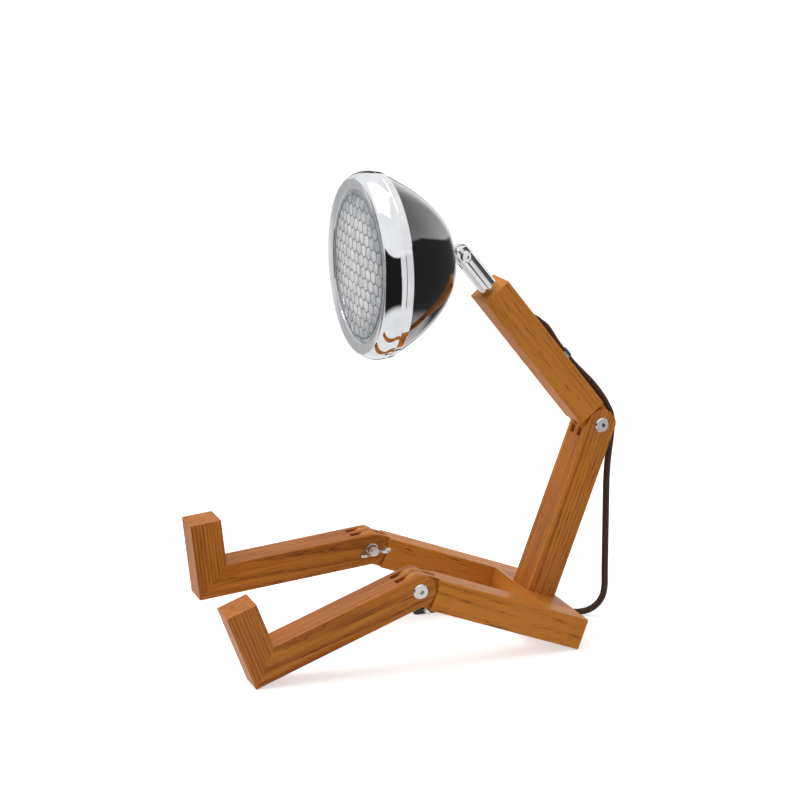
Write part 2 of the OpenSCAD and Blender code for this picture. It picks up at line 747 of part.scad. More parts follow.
// Upper half with a window, and two cheeks that carry the rocker
module switch_cover() {
    slope = 3;
    color(BLACK) at_switch() difference() {
        union() {
            difference() {
                union() {
                    translate([0, 0, split_h]) linear_extrude(height = switch_h - split_h - slope) switch_outline(0);
                    translate([0, 0, switch_h - slope]) linear_extrude(height = slope, scale = 0.88) switch_outline(0);
                }
                translate([0, 0, split_h - OVER])
                    linear_extrude(height = switch_h - split_h - SWITCH_WALL + OVER) switch_outline(SWITCH_WALL * 1.5);
            }
            for (side = [-1, 1]) translate([-4, side * 6 - 1.1, split_h + 2]) cube([8, 2.2, switch_h - split_h - 3]);
            at_switch_screws() translate([0, 0, split_h]) cylinder(d = 7, h = switch_h - split_h - 1);
        }
        translate([-ROCKER[0] / 2 - 0.8, -ROCKER[1] / 2 - 0.35, split_h])
            cube([ROCKER[0] + 1.6, ROCKER[1] + 0.7, switch_h]);
        translate([0, 0, rocker_pivot_up]) rotate([90, 0, 0]) cylinder(d = 3.2, h = 13.4, center = true);
        at_switch_screws() cylinder(d = 2.6, h = switch_h - 2 * SWITCH_WALL + 0.4);
    }
}

module switch_rocker() {
    color([0.85, 0.84, 0.8]) at_switch() translate([0, 0, rocker_pivot_up]) rotate([0, -ROCKER_TILT, 0]) {
        rotate([90, 0, 0]) translate([0, 0, -ROCKER[1] / 2]) linear_extrude(height = ROCKER[1])
            polygon([
                [-ROCKER[0] / 2, 3.4], [-ROCKER[0] / 2 + 1, -2.6], [ROCKER[0] / 2 - 1, -2.6],
                [ROCKER[0] / 2, 3.4], [0, 2.2]
            ]);
        rotate([90, 0, 0]) cylinder(d = 3, h = 13, center = true);
    }
}

// The plug: origin where the cord enters it, pins along +X
module at_plug() {
    translate([plug_in.x, plug_in.y, 0]) children();
}

// Flat two-pin plug: tapered body with a relief round the cord
module plug_body() {
    relief = plug_relief_len;
    waist = plug_w * 0.36;
    color(BLACK) at_plug() {
        translate([0, 0, plug_in.z]) rotate([0, 90, 0]) cylinder(d1 = cord_d + 1.4, d2 = plug_h - 2.6, h = relief);
        difference() {
            translate([relief - 1, 0, 0]) linear_extrude(height = plug_h) polygon([
                [0, -waist / 2], [12, -plug_w / 2 + 3], [plug_len - 8, -plug_w / 2 + 1], [plug_len - 3, -plug_w / 2],
                [plug_len, -plug_w / 2 + 1.5], [plug_len, plug_w / 2 - 1.5], [plug_len - 3, plug_w / 2],
                [plug_len - 8, plug_w / 2 - 1], [12, plug_w / 2 - 3], [0, waist / 2]
            ]);
            at_pins() cylinder(d = pin_root_d + 2 * bolt_fit, h = 2 * PIN_ROOT, center = true);
        }
    }
}

// Children where each pin leaves the plug's face
module at_pins() {
    for (side = [-1, 1])
        translate([plug_relief_len - 1 + plug_len, side * pin_pitch / 2, plug_in.z]) rotate([0, 90, 0]) children();
}

module plug_pins() {
    color(CHROME) at_plug() at_pins() {
        translate([0, 0, -PIN_ROOT]) cylinder(d = pin_root_d, h = PIN_ROOT + OVER);
        cylinder(d = pin_d, h = pin_len - PIN_TIP);
        translate([0, 0, pin_len - PIN_TIP]) cylinder(d1 = pin_d, d2 = pin_d - 1.5 * PIN_TIP, h = PIN_TIP);
    }
}

// ---------- neck and head ----------

// Chrome tube with a slotted, rounded end about the head's pivot
module neck_tube() {
    tube_len = neck_depth + neck_reach;
    color(CHROME) at_neck() difference() {
        intersection() {
            translate([0, 0, -neck_depth]) cylinder(d = neck_d, h = tube_len + neck_d / 2);
            union() {
                translate([-neck_d, -neck_d, -neck_depth - OVER]) cube([2 * neck_d, 2 * neck_d, tube_len + OVER]);
                translate([0, 0, neck_reach]) x_rod(neck_d, 2 * neck_d);
            }
        }
        translate([0, 0, -neck_depth - OVER])
            cylinder(d = neck_bore_d, h = tube_len - tongue_r - 3 + OVER);
        translate([-tongue_t / 2 - joint_play, -neck_d, neck_reach - tongue_r - 2.5])
            cube([tongue_t + 2 * joint_play, 2 * neck_d, 2 * neck_d]);
        for (side = [-1, 1]) translate([side * (neck_flat + 5), 0, neck_reach]) x_rod(screw_head_d + 1, 10);
        translate([0, 0, neck_reach]) x_rod(pivot_d + 2 * bolt_fit, 2 * neck_d);
    }
}

tongue_r = 7.5;
neck_flat = 8.4;
screw_head_d = 11;
collar_d = 20;
collar_h = 3;
stud_d = 8;

// Tongue with a round collar behind the bowl and a stud through it
module knuckle() {
    arm = pivot_to_bowl - collar_h;
    color(CHROME) at_head() difference() {
        union() {
            x_rod(2 * tongue_r, tongue_t);
            translate([-tongue_t / 2, -arm - OVER, -tongue_r - 0.5]) cube([tongue_t, arm + OVER, 2 * tongue_r - 1.5]);
            translate([0, -arm, -axis_drop]) rotate([90, 0, 0]) cylinder(d = collar_d, h = collar_h);
            translate([0, -arm, -axis_drop]) rotate([90, 0, 0]) cylinder(d = stud_d, h = collar_h + bowl_wall + 5.5);
        }
        x_rod(pivot_d + 2 * bolt_fit, 2 * neck_d);
        translate([0, -arm + OVER, -axis_drop]) rotate([90, 0, 0])
            cylinder(d = stud_d - 3, h = collar_h + bowl_wall + 12);
    }
}

// Nut and washer in one on the stud, inside the bowl
module knuckle_nut() {
    color(ZINC) at_rim() translate([0, 0, head_depth - bowl_wall - 5.9]) difference() {
        union() {
            cylinder(d = 15, h = 4.4, $fn = 6);
            translate([0, 0, 4.1]) cylinder(d = 18, h = 1.2);
        }
        translate([0, 0, -OVER]) cylinder(d = stud_d + 2 * bolt_fit, h = 9);
    }
}

// Cross screw of the head's pivot, its head on the left side
module pivot_screw() {
    color(CHROME) at_neck() translate([0, 0, neck_reach]) rotate([0, 90, 0]) difference() {
        union() {
            translate([0, 0, -neck_flat - 1]) cylinder(d = pivot_d, h = 2 * neck_flat + 2);
            translate([0, 0, neck_flat]) rotate_extrude() bolt_head_outline(screw_head_d, 2.4);
            translate([0, 0, -neck_flat]) mirror([0, 0, 1]) rotate_extrude() bolt_head_outline(screw_head_d - 2, 2);
        }
        translate([0, 0, neck_flat + 0.8]) cylinder(d = 4.6, h = 4, $fn = 6);
    }
}

// Radius of the bowl at a distance behind the bezel, for a bowl of radius r and depth h
function bowl_radius(r, h, z) = r * pow(max(0, 1 - z / h), 1 / BOWL_POWER);

// Outline points of a bowl from its open edge to its back
function bowl_curve(r, h) = [
    for (k = [0:PROFILE_STEPS])
        let (f = 1 - k / PROFILE_STEPS) [r * f, bezel_depth + h * (1 - pow(f, BOWL_POWER))]
];

function reversed(list) = [for (i = [len(list) - 1:-1:0]) list[i]];

// Black bowl, its straight edge tucked into the bezel, with a hole for the stud
module head_shell() {
    tuck = 8;
    color(BLACK) at_rim() difference() {
        rotate_extrude($fn = 96) polygon(concat(
            [[bowl_r - bowl_wall, bezel_depth - tuck], [bowl_r, bezel_depth - tuck]],
            bowl_curve(bowl_r, bowl_depth),
            reversed(bowl_curve(bowl_r - bowl_wall, bowl_depth - bowl_wall))
        ));
        translate([0, 0, head_depth - 6]) cylinder(d = stud_d + 2 * bolt_fit, h = 12);
    }
}

// Chrome bezel: flat front rim, convex band and a stepped rear lip
module bezel() {
    lip = 2.4;
    color(CHROME) at_rim() rotate_extrude($fn = 96) difference() {
        polygon(concat(
            [[lens_r - 2.5, 0.6], [rim_r - 1, 0]],
            [for (k = [0:8]) let (a = 90 * k / 8)
                [rim_r + (bezel_r - rim_r) * sin(a), bezel_bulge * (1 - cos(a))]],
            [[bezel_r - 0.5, (bezel_bulge + bezel_depth) / 2], [bowl_r + 1.4, bezel_depth - lip],
             [bowl_r + 1.9, bezel_depth - lip], [bowl_r + 1.9, bezel_depth - 0.6], [bowl_r + 1.4, bezel_depth],
             [bowl_r + 0.1, bezel_depth], [bowl_r + 0.1, bezel_bulge],
             [rim_r + bezel_wall, bezel_bulge * 0.45], [rim_r - 1, bezel_wall + 0.4],
             [lens_r - 2.5, bezel_wall + 0.4]]
        ));
    }
}

// Points of the lens's front face, from the middle out
function lens_face(z0) = [
    for (k = [0:8]) let (x = lens_r * k / 8) [x, z0 - lens_rise * (1 - pow(x / lens_r, 2))]
];

// Domed glass behind the bezel's lip
module lens() {
    color(GLASS) at_rim() rotate_extrude($fn = 96)
        polygon(concat(lens_face(lens_seat), reversed(lens_face(lens_seat + lens_t))));
}

// Rubber ring that holds the lens against the bezel
module lens_gasket() {
    color(BLACK) at_rim() translate([0, 0, lens_seat + lens_t + 0.2]) difference() {
        cylinder(r = lens_r + 3, h = 3, $fn = 96);
        translate([0, 0, -OVER]) cylinder(r = lens_r - 3.5, h = 3 + 2 * OVER, $fn = 96);
    }
}

// Radius of the reflector, a paraboloid, at a distance behind the rim
reflector_back = head_depth - holder_len + 2;
function reflector_r(z) =
    sqrt(holder_d * holder_d / 4 * 1.2 + (lens_r * lens_r - holder_d * holder_d / 4 * 1.2)
        * (reflector_back - z) / (reflector_back - reflector_front));

module reflector() {
    curve = [for (k = [0:PROFILE_STEPS])
        let (z = reflector_front + (reflector_back - reflector_front) * pow(k / PROFILE_STEPS, 0.8))
            [reflector_r(z), z]];
    color(CHROME) at_rim() rotate_extrude($fn = 96) polygon(concat(
        [[lens_r + 4, reflector_front + 0.3]], curve,
        reversed([for (p = curve) [p[0] + reflector_wall, p[1] + 0.3]]),
        [[lens_r + 4, reflector_front + 1.3]]
    ));
}

// Lamp holder on the knuckle's nut, its flange behind the reflector
module lamp_holder() {
    back = head_depth - bowl_wall - 6;
    color(BLACK) at_rim() translate([0, 0, back - holder_len]) difference() {
        cylinder(d = holder_d, h = holder_len);
        translate([0, 0, -OVER]) cylinder(d = bulb_neck_d + 1, h = 20);
    }
}

// Round bulb with its cap in the holder
module bulb() {
    back = head_depth - bowl_wall - 6;
    color([0.98, 0.96, 0.9]) at_rim() translate([0, 0, back - holder_len]) {
        translate([0, 0, -1]) cylinder(d = bulb_neck_d, h = 17);
        translate([0, 0, -bulb_d / 2 - 3]) sphere(d = bulb_d);
        translate([0, 0, -7]) cylinder(d1 = bulb_neck_d + 7, d2 = bulb_neck_d, h = 7);
    }
}

// Lead from the stud's bore into the holder
module head_lead() {
    color(TEXTILE) at_rim() translate([0, 0, head_depth - bowl_wall - 5.9]) cylinder(d = 4, h = 11);
}

// ---------- output ----------

head_shell();
bezel();
lens();
lens_gasket();
reflector();
bulb();
lamp_holder();
head_lead();
knuckle();
knuckle_nut();
pivot_screw();
neck_tube();
chest();
cord_sleeve();
cord_clip();
clip_screws();
lower_torso();
chest_bolt();
chest_washer();
chest_wing_nut();
hip_block();
hip_dowels();
left_thigh();
right_thigh();
waist_bolt();
waist_washer();
waist_insert();
left_shin();
left_foot();
left_knee_bolt();
left_knee_washer();
left_wing_nut();
right_shin();
right_foot();
right_knee_bolt();
right_knee_washer();
right_wing_nut();
cord_back();
cord_bend();
cord_drop();
cord_floor();
cord_link();
cord_coil();
cord_tail();
switch_base();
switch_cover();
switch_rocker();
switch_screws();
plug_body();
plug_pins();
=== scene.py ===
import json
import math

import bmesh
import bpy
from bpy.props import FloatProperty, FloatVectorProperty, IntProperty, PointerProperty
from bpy.types import Operator, Panel, PropertyGroup
from mathutils import Matrix, Vector


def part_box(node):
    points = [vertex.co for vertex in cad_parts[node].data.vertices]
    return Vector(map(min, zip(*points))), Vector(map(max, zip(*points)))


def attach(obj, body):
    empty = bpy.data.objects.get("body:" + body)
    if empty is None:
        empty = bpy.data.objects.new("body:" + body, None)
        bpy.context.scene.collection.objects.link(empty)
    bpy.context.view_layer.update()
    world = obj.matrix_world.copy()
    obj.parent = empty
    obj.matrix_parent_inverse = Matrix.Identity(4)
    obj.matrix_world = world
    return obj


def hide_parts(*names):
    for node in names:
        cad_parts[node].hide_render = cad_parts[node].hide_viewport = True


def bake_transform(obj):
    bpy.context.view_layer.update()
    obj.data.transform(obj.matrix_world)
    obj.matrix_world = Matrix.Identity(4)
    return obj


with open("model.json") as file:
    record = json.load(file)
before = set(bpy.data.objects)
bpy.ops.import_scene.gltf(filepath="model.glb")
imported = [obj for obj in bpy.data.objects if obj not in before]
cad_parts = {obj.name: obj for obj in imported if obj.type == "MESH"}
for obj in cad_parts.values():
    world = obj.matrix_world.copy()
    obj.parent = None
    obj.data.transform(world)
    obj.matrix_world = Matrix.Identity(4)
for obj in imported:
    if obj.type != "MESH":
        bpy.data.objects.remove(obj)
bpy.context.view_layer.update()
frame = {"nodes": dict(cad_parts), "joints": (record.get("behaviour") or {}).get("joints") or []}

bl_info = {
    "name": "Sitting Figure Desk Lamp",
    "version": (1, 0, 0),
    "blender": (4, 5, 0),
    "location": "3D View > Sidebar > Lamp",
    "description": "Wood, metal, glass and cord for a wooden figure with a headlamp for a head",
    "category": "Object",
}

MM = 0.001
WHITE = (1.0, 1.0, 1.0, 1.0)


# ---------- settings ----------

def colour(name, description, default):
    return FloatVectorProperty(name=name, description=description, default=default, size=3,
                               subtype="COLOR", min=0.0, max=1.0)


def length(name, description, default):
    return FloatProperty(name=name, description=description, default=default, min=0.0,
                         subtype="DISTANCE", unit="LENGTH", precision=5)


def share(name, description, default):
    return FloatProperty(name=name, description=description, default=default, min=0.0, max=1.0,
                         subtype="FACTOR")


class TimberSettings(PropertyGroup):
    pale: colour("Early wood", "Colour of the pale bands of the grain", (0.66, 0.235, 0.030))
    deep: colour("Late wood", "Colour of the dark bands of the grain", (0.30, 0.076, 0.008))
    pore: colour("Pores", "Colour of the short dark pores", (0.12, 0.032, 0.006))
    ring: length("Ring spacing", "Distance from one growth ring to the next", 0.0030)
    sheen: share("Sheen", "Roughness of the oiled surface", 0.42)


class MetalSettings(PropertyGroup):
    chrome: colour("Chrome", "Colour of the polished bezel and neck", (0.80, 0.81, 0.83))
    zinc: colour("Zinc", "Colour of the bolts, washers and wing nuts", (0.70, 0.69, 0.67))
    enamel: colour("Enamel", "Colour of the bowl's gloss paint", (0.006, 0.006, 0.007))


class GlassSettings(PropertyGroup):
    cell: length("Cell", "Width of one six-sided cell of the lens", 0.0115)
    relief: length("Relief", "Height of the cells' pillows", 0.0018)
    plain_rim: length("Plain rim", "Width of the lens's smooth edge", 0.0065)


class CordSettings(PropertyGroup):
    thick: length("Diameter", "Diameter of the textile-covered cord", 0.0065)
    # The blend from the dark yarn to the light yarn also paints shade into the grooves between the yarns
    dark: colour("Dark yarn", "Colour of the braid's darker yarn", (0.030, 0.012, 0.006))
    light: colour("Light yarn", "Colour of the braid's lighter yarn", (0.085, 0.034, 0.015))
    yarns: IntProperty(name="Yarns", description="Yarns that wind each way round the cord",
                       default=8, min=4, max=16)
    black: colour("Mouldings", "Colour of the switch, plug and sleeve", (0.012, 0.012, 0.013))


class StudioSettings(PropertyGroup):
    floor: colour("Floor", "Colour of the floor", (0.86, 0.86, 0.86))
    glow: FloatProperty(name="Backdrop", description="Whiteness that the floor adds before the camera",
                        default=0.575, min=0.0)
    sky: FloatProperty(name="Sky", description="Strength of the light from all round",
                       default=0.50, min=0.0)
    key: FloatProperty(name="Overhead lamp", description="Power of the large lamp above",
                       default=17.0, min=0.0, subtype="POWER", unit="POWER")
    fill: FloatProperty(name="Front lamp", description="Power of the lamp before the face",
                        default=9.0, min=0.0, subtype="POWER", unit="POWER")


class LampSettings(PropertyGroup):
    timber: PointerProperty(type=TimberSettings)
    metal: PointerProperty(type=MetalSettings)
    glass: PointerProperty(type=GlassSettings)
    cord: PointerProperty(type=CordSettings)
    studio: PointerProperty(type=StudioSettings)


def settings():
    return bpy.context.scene.figure_lamp


# ---------- places, all from the frame's joints ----------

JOINT = {j["name"]: j for j in frame["joints"]}


def joint_at(name):
    return Vector(JOINT[name]["pos_m"])


def axis_of(name):
    return Vector(JOINT[name]["axis"]).normalized()


def place(origin, along_x, along_z):
    """Matrix of a frame with its origin and its X and Z directions."""
    x, z = along_x.normalized(), along_z.normalized()
    y = z.cross(x)
    turn = Matrix((x, y, z)).transposed()
    return Matrix.Translation(origin) @ turn.to_4x4()


HINGE = joint_at("chest_hinge")
SIDEWAYS = Vector((1, 0, 0))
SEAT = place(joint_at("waist_swivel"), SIDEWAYS, axis_of("waist_swivel"))
TORSO = place(joint_at("waist_swivel"), axis_of("chest_hinge"), axis_of("waist_swivel"))
CHEST = place(HINGE, axis_of("chest_hinge"), axis_of("neck_swivel"))
NECK = place(joint_at("neck_swivel"), axis_of("head_tilt"), axis_of("neck_swivel"))
# Degrees: the chest's bend against the torso, the rise of the thighs, and each shin's fall below level
CHEST_BEND, THIGH_RISE = 59.4, 20.7
SHIN_FALL = {"left": 20.571, "right": 5.8}
HEAD = (Matrix.Translation(joint_at("head_tilt")) @ NECK.to_3x3().to_4x4()
        @ Matrix.Rotation(-math.radians(CHEST_BEND - THIGH_RISE), 4, "X"))
# Millimetres: from the head's pivot to the bowl's back and down to its axis, and from its back to the rim
PIVOT_TO_BOWL, AXIS_DROP, HEAD_DEPTH = 13, 4, 91.3
RIM = (HEAD @ Matrix.Translation((0, -(PIVOT_TO_BOWL + HEAD_DEPTH) * MM, -AXIS_DROP * MM))
       @ Matrix.Rotation(-math.pi / 2, 4, "X"))
# The cord's route is laid from FLOOR_AT; the switch's inner end lies at this X and Y from it, in millimetres
SWITCH_IN = (-46, 22)
SWITCH_LOW, SWITCH_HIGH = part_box("switch_base")
FLOOR_AT = Vector((SWITCH_HIGH.x - SWITCH_IN[0] * MM,
                   (SWITCH_LOW.y + SWITCH_HIGH.y) / 2 - SWITCH_IN[1] * MM, 0))
# The camera, solved from the beams' corners in the photograph. Its place is counted from FLOOR_AT
SENSOR_MM, FOCAL_MM = 36.0, 112.933
CAMERA_RIGHT = Vector((0.32855886, 0.94445149, -0.00777505))
CAMERA_UP = Vector((-0.21950638, 0.08436408, 0.97195661))
CAMERA_SPOT = Vector((2.152305, -0.889013, 0.785407))


# ---------- shader maths ----------

# Outputs of the Texture Coordinate node: in the world's shader the first gives the direction looked in
DIRECTION, OWN_UV, OBJECT_POINT = 0, 2, 3


class Wire:
    """A socket of a finish: arithmetic on it adds the Math nodes that work it out."""

    def __init__(self, finish, socket):
        self.finish, self.socket = finish, socket

    def maths(self, operation, *operands):
        return self.finish.add("ShaderNodeMath", {"operation": operation}, dict(enumerate(operands)))

    def __add__(self, other): return self.maths("ADD", self, other)
    def __radd__(self, other): return self.maths("ADD", other, self)
    def __sub__(self, other): return self.maths("SUBTRACT", self, other)
    def __rsub__(self, other): return self.maths("SUBTRACT", other, self)
    def __mul__(self, other): return self.maths("MULTIPLY", self, other)
    def __rmul__(self, other): return self.maths("MULTIPLY", other, self)
    def __truediv__(self, other): return self.maths("DIVIDE", self, other)
    def __rtruediv__(self, other): return self.maths("DIVIDE", other, self)
    def __mod__(self, other): return self.maths("FLOORED_MODULO", self, other)
    def __abs__(self): return self.maths("ABSOLUTE", self)
    def __gt__(self, other): return self.maths("GREATER_THAN", self, other)
    def __lt__(self, other): return self.maths("LESS_THAN", self, other)

    def floor(self): return self.maths("FLOOR", self)
    def fraction(self): return self.maths("FRACT", self)
    def sine(self): return self.maths("SINE", self)
    def root(self): return self.maths("SQRT", self)
    def least(self, other): return self.maths("MINIMUM", self, other)
    def most(self, other): return self.maths("MAXIMUM", self, other)

    def step(self, low, high):
        """0 below low, 1 above high, eased between."""
        return self.finish.add("ShaderNodeMapRange", {"interpolation_type": "SMOOTHSTEP"},
                               {"Value": self, "From Min": low, "From Max": high})


class Finish:
    """A node tree and the one way to add a node to it."""

    def __init__(self, tree):
        self.tree = tree
        tree.nodes.clear()

    def add(self, kind, options=None, inputs=None, output=0):
        """Adds a node with its options and with values or wires at its inputs."""
        node = self.tree.nodes.new(kind)
        for key, value in (options or {}).items():
            if key == "stops":
                self.set_stops(node.color_ramp, value)
            else:
                setattr(node, key, value)
        for key, value in (inputs or {}).items():
            socket = node.inputs[key]
            if isinstance(value, Wire):
                self.tree.links.new(value.socket, socket)
            elif socket.type == "RGBA" and len(value) == 3:
                socket.default_value = (*value, 1.0)
            else:
                socket.default_value = value
        return Wire(self, node.outputs[output]) if node.outputs else node

    @staticmethod
    def set_stops(ramp, stops):
        while len(ramp.elements) < len(stops):
            ramp.elements.new(0.5)
        for element, (position, shade) in zip(ramp.elements, stops):
            element.position = position
            element.color = (*shade, 1.0)

    def blend(self, factor, first, second):
        """Colour mix of two colours."""
        return self.add("ShaderNodeMix", {"data_type": "RGBA"}, {0: factor, 6: first, 7: second},
                        output=2)

    def scaled(self, vector, factors):
        return self.add("ShaderNodeVectorMath", {"operation": "MULTIPLY"}, {0: vector, 1: factors})

    def moved(self, vector, offset):
        return self.add("ShaderNodeVectorMath", {"operation": "ADD"}, {0: vector, 1: offset})

    def parts(self, vector):
        """The three parts of a vector."""
        node = self.add("ShaderNodeSeparateXYZ", None, {0: vector}).socket.node
        return [Wire(self, out) for out in node.outputs]

    def flat(self, x, y):
        return self.add("ShaderNodeCombineXYZ", None, {0: x, 1: y})

    def noise(self, vector, scale, detail, roughness=0.5):
        return self.add("ShaderNodeTexNoise", None,
                        {"Vector": vector, "Scale": scale, "Detail": detail, "Roughness": roughness})

    def grain(self, point, along, across, detail=2.0, roughness=0.5):
        """Noise drawn out along X, with its scale along and across."""
        return self.noise(self.scaled(point, (along, across, across)), 1.0, detail, roughness)

    def surface_point(self, matrix=None):
        """Object coordinates, in a piece's own frame where a matrix is given."""
        point = self.add("ShaderNodeTexCoord", output=OBJECT_POINT)
        if matrix is None:
            return point
        return self.add("ShaderNodeMapping", {"vector_type": "TEXTURE"}, {
            "Vector": point, "Location": matrix.to_translation(), "Rotation": matrix.to_euler()})

    def bump(self, height, distance, strength):
        return self.add("ShaderNodeBump", None,
                        {"Height": height, "Distance": distance, "Strength": strength})


def material(name):
    made = bpy.data.materials.new(name)
    made.use_nodes = True
    return made, Finish(made.node_tree)


def finish_off(made, finish, **sockets):
    """Ends a material in one Principled shader with the sockets given."""
    inputs = {key.replace("_", " "): value for key, value in sockets.items()}
    shader = finish.add("ShaderNodeBsdfPrincipled", None, inputs)
    finish.add("ShaderNodeOutputMaterial", None, {"Surface": shader})
    return made


# ---------- materials ----------

def oiled_wood(name, matrix, seed, paleness):
    """Oiled hardwood with the grain along X of a beam's own frame.

    It has rings about a pith outside the beam, fibres, streaks and pores. The seed gives each beam its
    own cut.
    """
    timber = settings().timber
    made, f = material(name)
    point = f.moved(f.surface_point(matrix), (seed * 0.37, 0.0, 0.0))
    drift = f.grain(point, 3.0, 14.0) - 0.5
    ripple = f.grain(point, 9.0, 70.0) - 0.5
    x, y, z = f.parts(point)
    pith_aside = 0.021 + 0.004 * math.sin(5 * seed)
    pith_below = 0.034 + 0.006 * math.cos(3 * seed)
    pith_slope = 0.012
    across, upward = y + pith_aside, z + pith_below + x * pith_slope
    radius = (across * across + upward * upward).root() + drift * 0.0030 + ripple * 0.0012
    ring = (radius / timber.ring + seed).fraction()
    late = ring.step(0.35, 0.92) * (1.0 - ring.step(0.93, 1.0))
    fibre = f.grain(point, 22.0, 900.0, 3.0, 0.6)
    streak = f.grain(point, 7.0, 210.0)
    cloud = f.grain(point, 6.0, 24.0)
    pores = f.grain(point, 75.0, 1000.0).step(0.58, 0.68) * (0.35 + 0.65 * late)
    darkness = 0.24 - paleness
    tone = (late * 0.34 + (streak - 0.5) * 0.95 + (fibre - 0.5) * 0.85 + (cloud - 0.5) * 0.9
            + darkness)
    shade = f.blend(tone.step(-0.15, 1.05), tuple(timber.pale), tuple(timber.deep))
    shade = f.blend(pores * 0.90, shade, tuple(timber.pore))
    ruddy, patches = (0.62, 0.21, 0.075), f.noise(point, 11.0, 1.0).step(0.45, 0.8)
    shade = f.blend(patches * 0.10, shade, ruddy)
    height = fibre * 0.5 - pores * 0.9 - late * 0.2
    rough = timber.sheen + (fibre - 0.5) * 0.16 + pores * 0.2
    return finish_off(made, f, Base_Color=shade, Roughness=rough, Normal=f.bump(height, 0.00012, 0.7),
                      Specular_IOR_Level=0.16, Coat_Weight=0.04, Coat_Roughness=0.22)


def polished(name, shade, roughness, wear, grain=0.0):
    """Plated or bare metal: haze in patches adds wear to its roughness, and hairline scratches add grain."""
    made, f = material(name)
    point = f.surface_point()
    haze = f.noise(point, 55.0, 4.0)
    hair = f.noise(f.scaled(point, (300.0, 300.0, 2600.0)), 1.0, 2.0)
    tint = f.blend(haze.step(0.35, 0.75) * 0.6, tuple(shade), tuple(0.86 * c for c in shade))
    rough = roughness + haze.step(0.45, 0.8) * wear + (hair - 0.5) * grain
    height = hair * 0.5 + f.noise(point, 700.0, 2.0) * 0.5
    return finish_off(made, f, Base_Color=tint, Metallic=1.0, Roughness=rough,
                      Normal=f.bump(height, 0.00002 + grain * 0.0004, 0.5))


def gloss_enamel():
    """Black gloss paint with orange peel and a few specks of dust under its clear coat."""
    made, f = material("gloss_black_enamel")
    point = f.surface_point()
    peel = f.noise(point, 420.0, 2.0)
    dust, dust_grey = f.noise(point, 2600.0, 1.0).step(0.72, 0.80), (0.06, 0.06, 0.062)
    shade = f.blend(dust * 0.35, tuple(settings().metal.enamel), dust_grey)
    return finish_off(made, f, Base_Color=shade, Roughness=0.05 + dust * 0.2,
                      Normal=f.bump(peel, 0.00003, 0.6), Coat_Weight=1.0, Coat_Roughness=0.03,
                      Coat_IOR=1.6, IOR=1.6)


def pressed_glass():
    """Clear glass with six-sided pillows pressed into it, a groove and a plain rim. Its colour is painted
    light: white for the reflector's shine behind it, with painted shade towards the edge, in patches, along
    the cells' edges and in the groove.
    """
    glass = settings().glass
    made, f = material("honeycomb_lens_glass")
    x, y, _ = f.parts(f.surface_point(RIM))
    cell = glass.cell
    tall = cell * math.sqrt(3.0)

    def from_centre(dx, dy):
        """Offset from the nearest cell's centre in a grid moved by dx and dy, and its square."""
        u = (x + dx) % cell - cell / 2
        v = (y + dy) % tall - tall / 2
        return u, v, u * u + v * v

    first, second = from_centre(0.0, 0.0), from_centre(cell / 2, tall / 2)
    nearer = first[2] < second[2]
    u = abs(first[0] * nearer + second[0] * (1.0 - nearer))
    v = abs(first[1] * nearer + second[1] * (1.0 - nearer))
    edge = u.most(u * 0.5 + v * (math.sqrt(3.0) / 2)) / (cell / 2)
    pillow = (1.0 - edge * edge).most(0.0)
    radius = (x * x + y * y).root()
    pattern_end = LENS_R * MM - glass.plain_rim
    patterned = 1.0 - radius.step(pattern_end - 0.001, pattern_end)
    rim_groove = radius.step(0.0640, 0.0655) * (1.0 - radius.step(0.0668, 0.0680))
    ripple = f.noise(f.surface_point(), 160.0, 2.0) * 0.10
    height = pillow.root() * patterned + ripple - rim_groove * 0.6
    # The cells' edges: the glass is rougher there, and below its colour gets painted shade
    seam = edge.step(0.80, 0.98) * patterned
    # Painted shade: the colour greys from white towards the lens's edge and in large painted patches, where
    # less of the reflector's shine shows through
    painted_grey_patches = f.noise(f.surface_point(), 70.0, 3.0).step(0.40, 0.65)
    shade = radius.step(0.035, 0.071) * 0.75 + painted_grey_patches * 0.35
    clear, painted_shade_grey, painted_edge_shade = (1.0, 1.0, 1.0), (0.40, 0.42, 0.45), (0.20, 0.22, 0.25)
    tint = f.blend(shade.least(1.0), clear, painted_shade_grey)
    # Painted shade: a dark line along each cell's edge and in the rim's groove
    tint = f.blend((seam * 0.85 + rim_groove * 0.5).least(1.0), tint, painted_edge_shade)
    return finish_off(made, f, Base_Color=tint, Roughness=0.05 + seam * 0.12,
                      Normal=f.bump(height, glass.relief, 1.0), IOR=1.47, Transmission_Weight=0.30)


def frosted_bulb():
    """White glass with a fine frosting."""
    made, f = material("frosted_bulb_glass")
    point = f.surface_point(RIM)
    grain = f.noise(point, 1500.0, 2.0)
    shade = f.blend(f.noise(point, 30.0, 2.0), (0.88, 0.87, 0.84), (0.80, 0.79, 0.77))
    return finish_off(made, f, Base_Color=shade, Roughness=0.30 + grain * 0.15,
                      Normal=f.bump(grain, 0.00003, 0.5), Subsurface_Weight=0.15,
                      Subsurface_Radius=(0.004, 0.004, 0.004))


def moulded(name, shade, roughness=0.34):
    """Moulded plastic or rubber with a fine spark-eroded texture."""
    made, f = material(name)
    point = f.surface_point()
    grain = f.noise(point, 900.0, 3.0, 0.6)
    worn = f.noise(point, 60.0, 3.0).step(0.5, 0.8)
    tint = f.blend(worn * 0.35, tuple(shade), tuple(min(1.0, 2.2 * c + 0.006) for c in shade))
    return finish_off(made, f, Base_Color=tint, Roughness=roughness + grain * 0.18 + worn * 0.06,
                      Normal=f.bump(grain, 0.00006, 0.6), IOR=1.5)


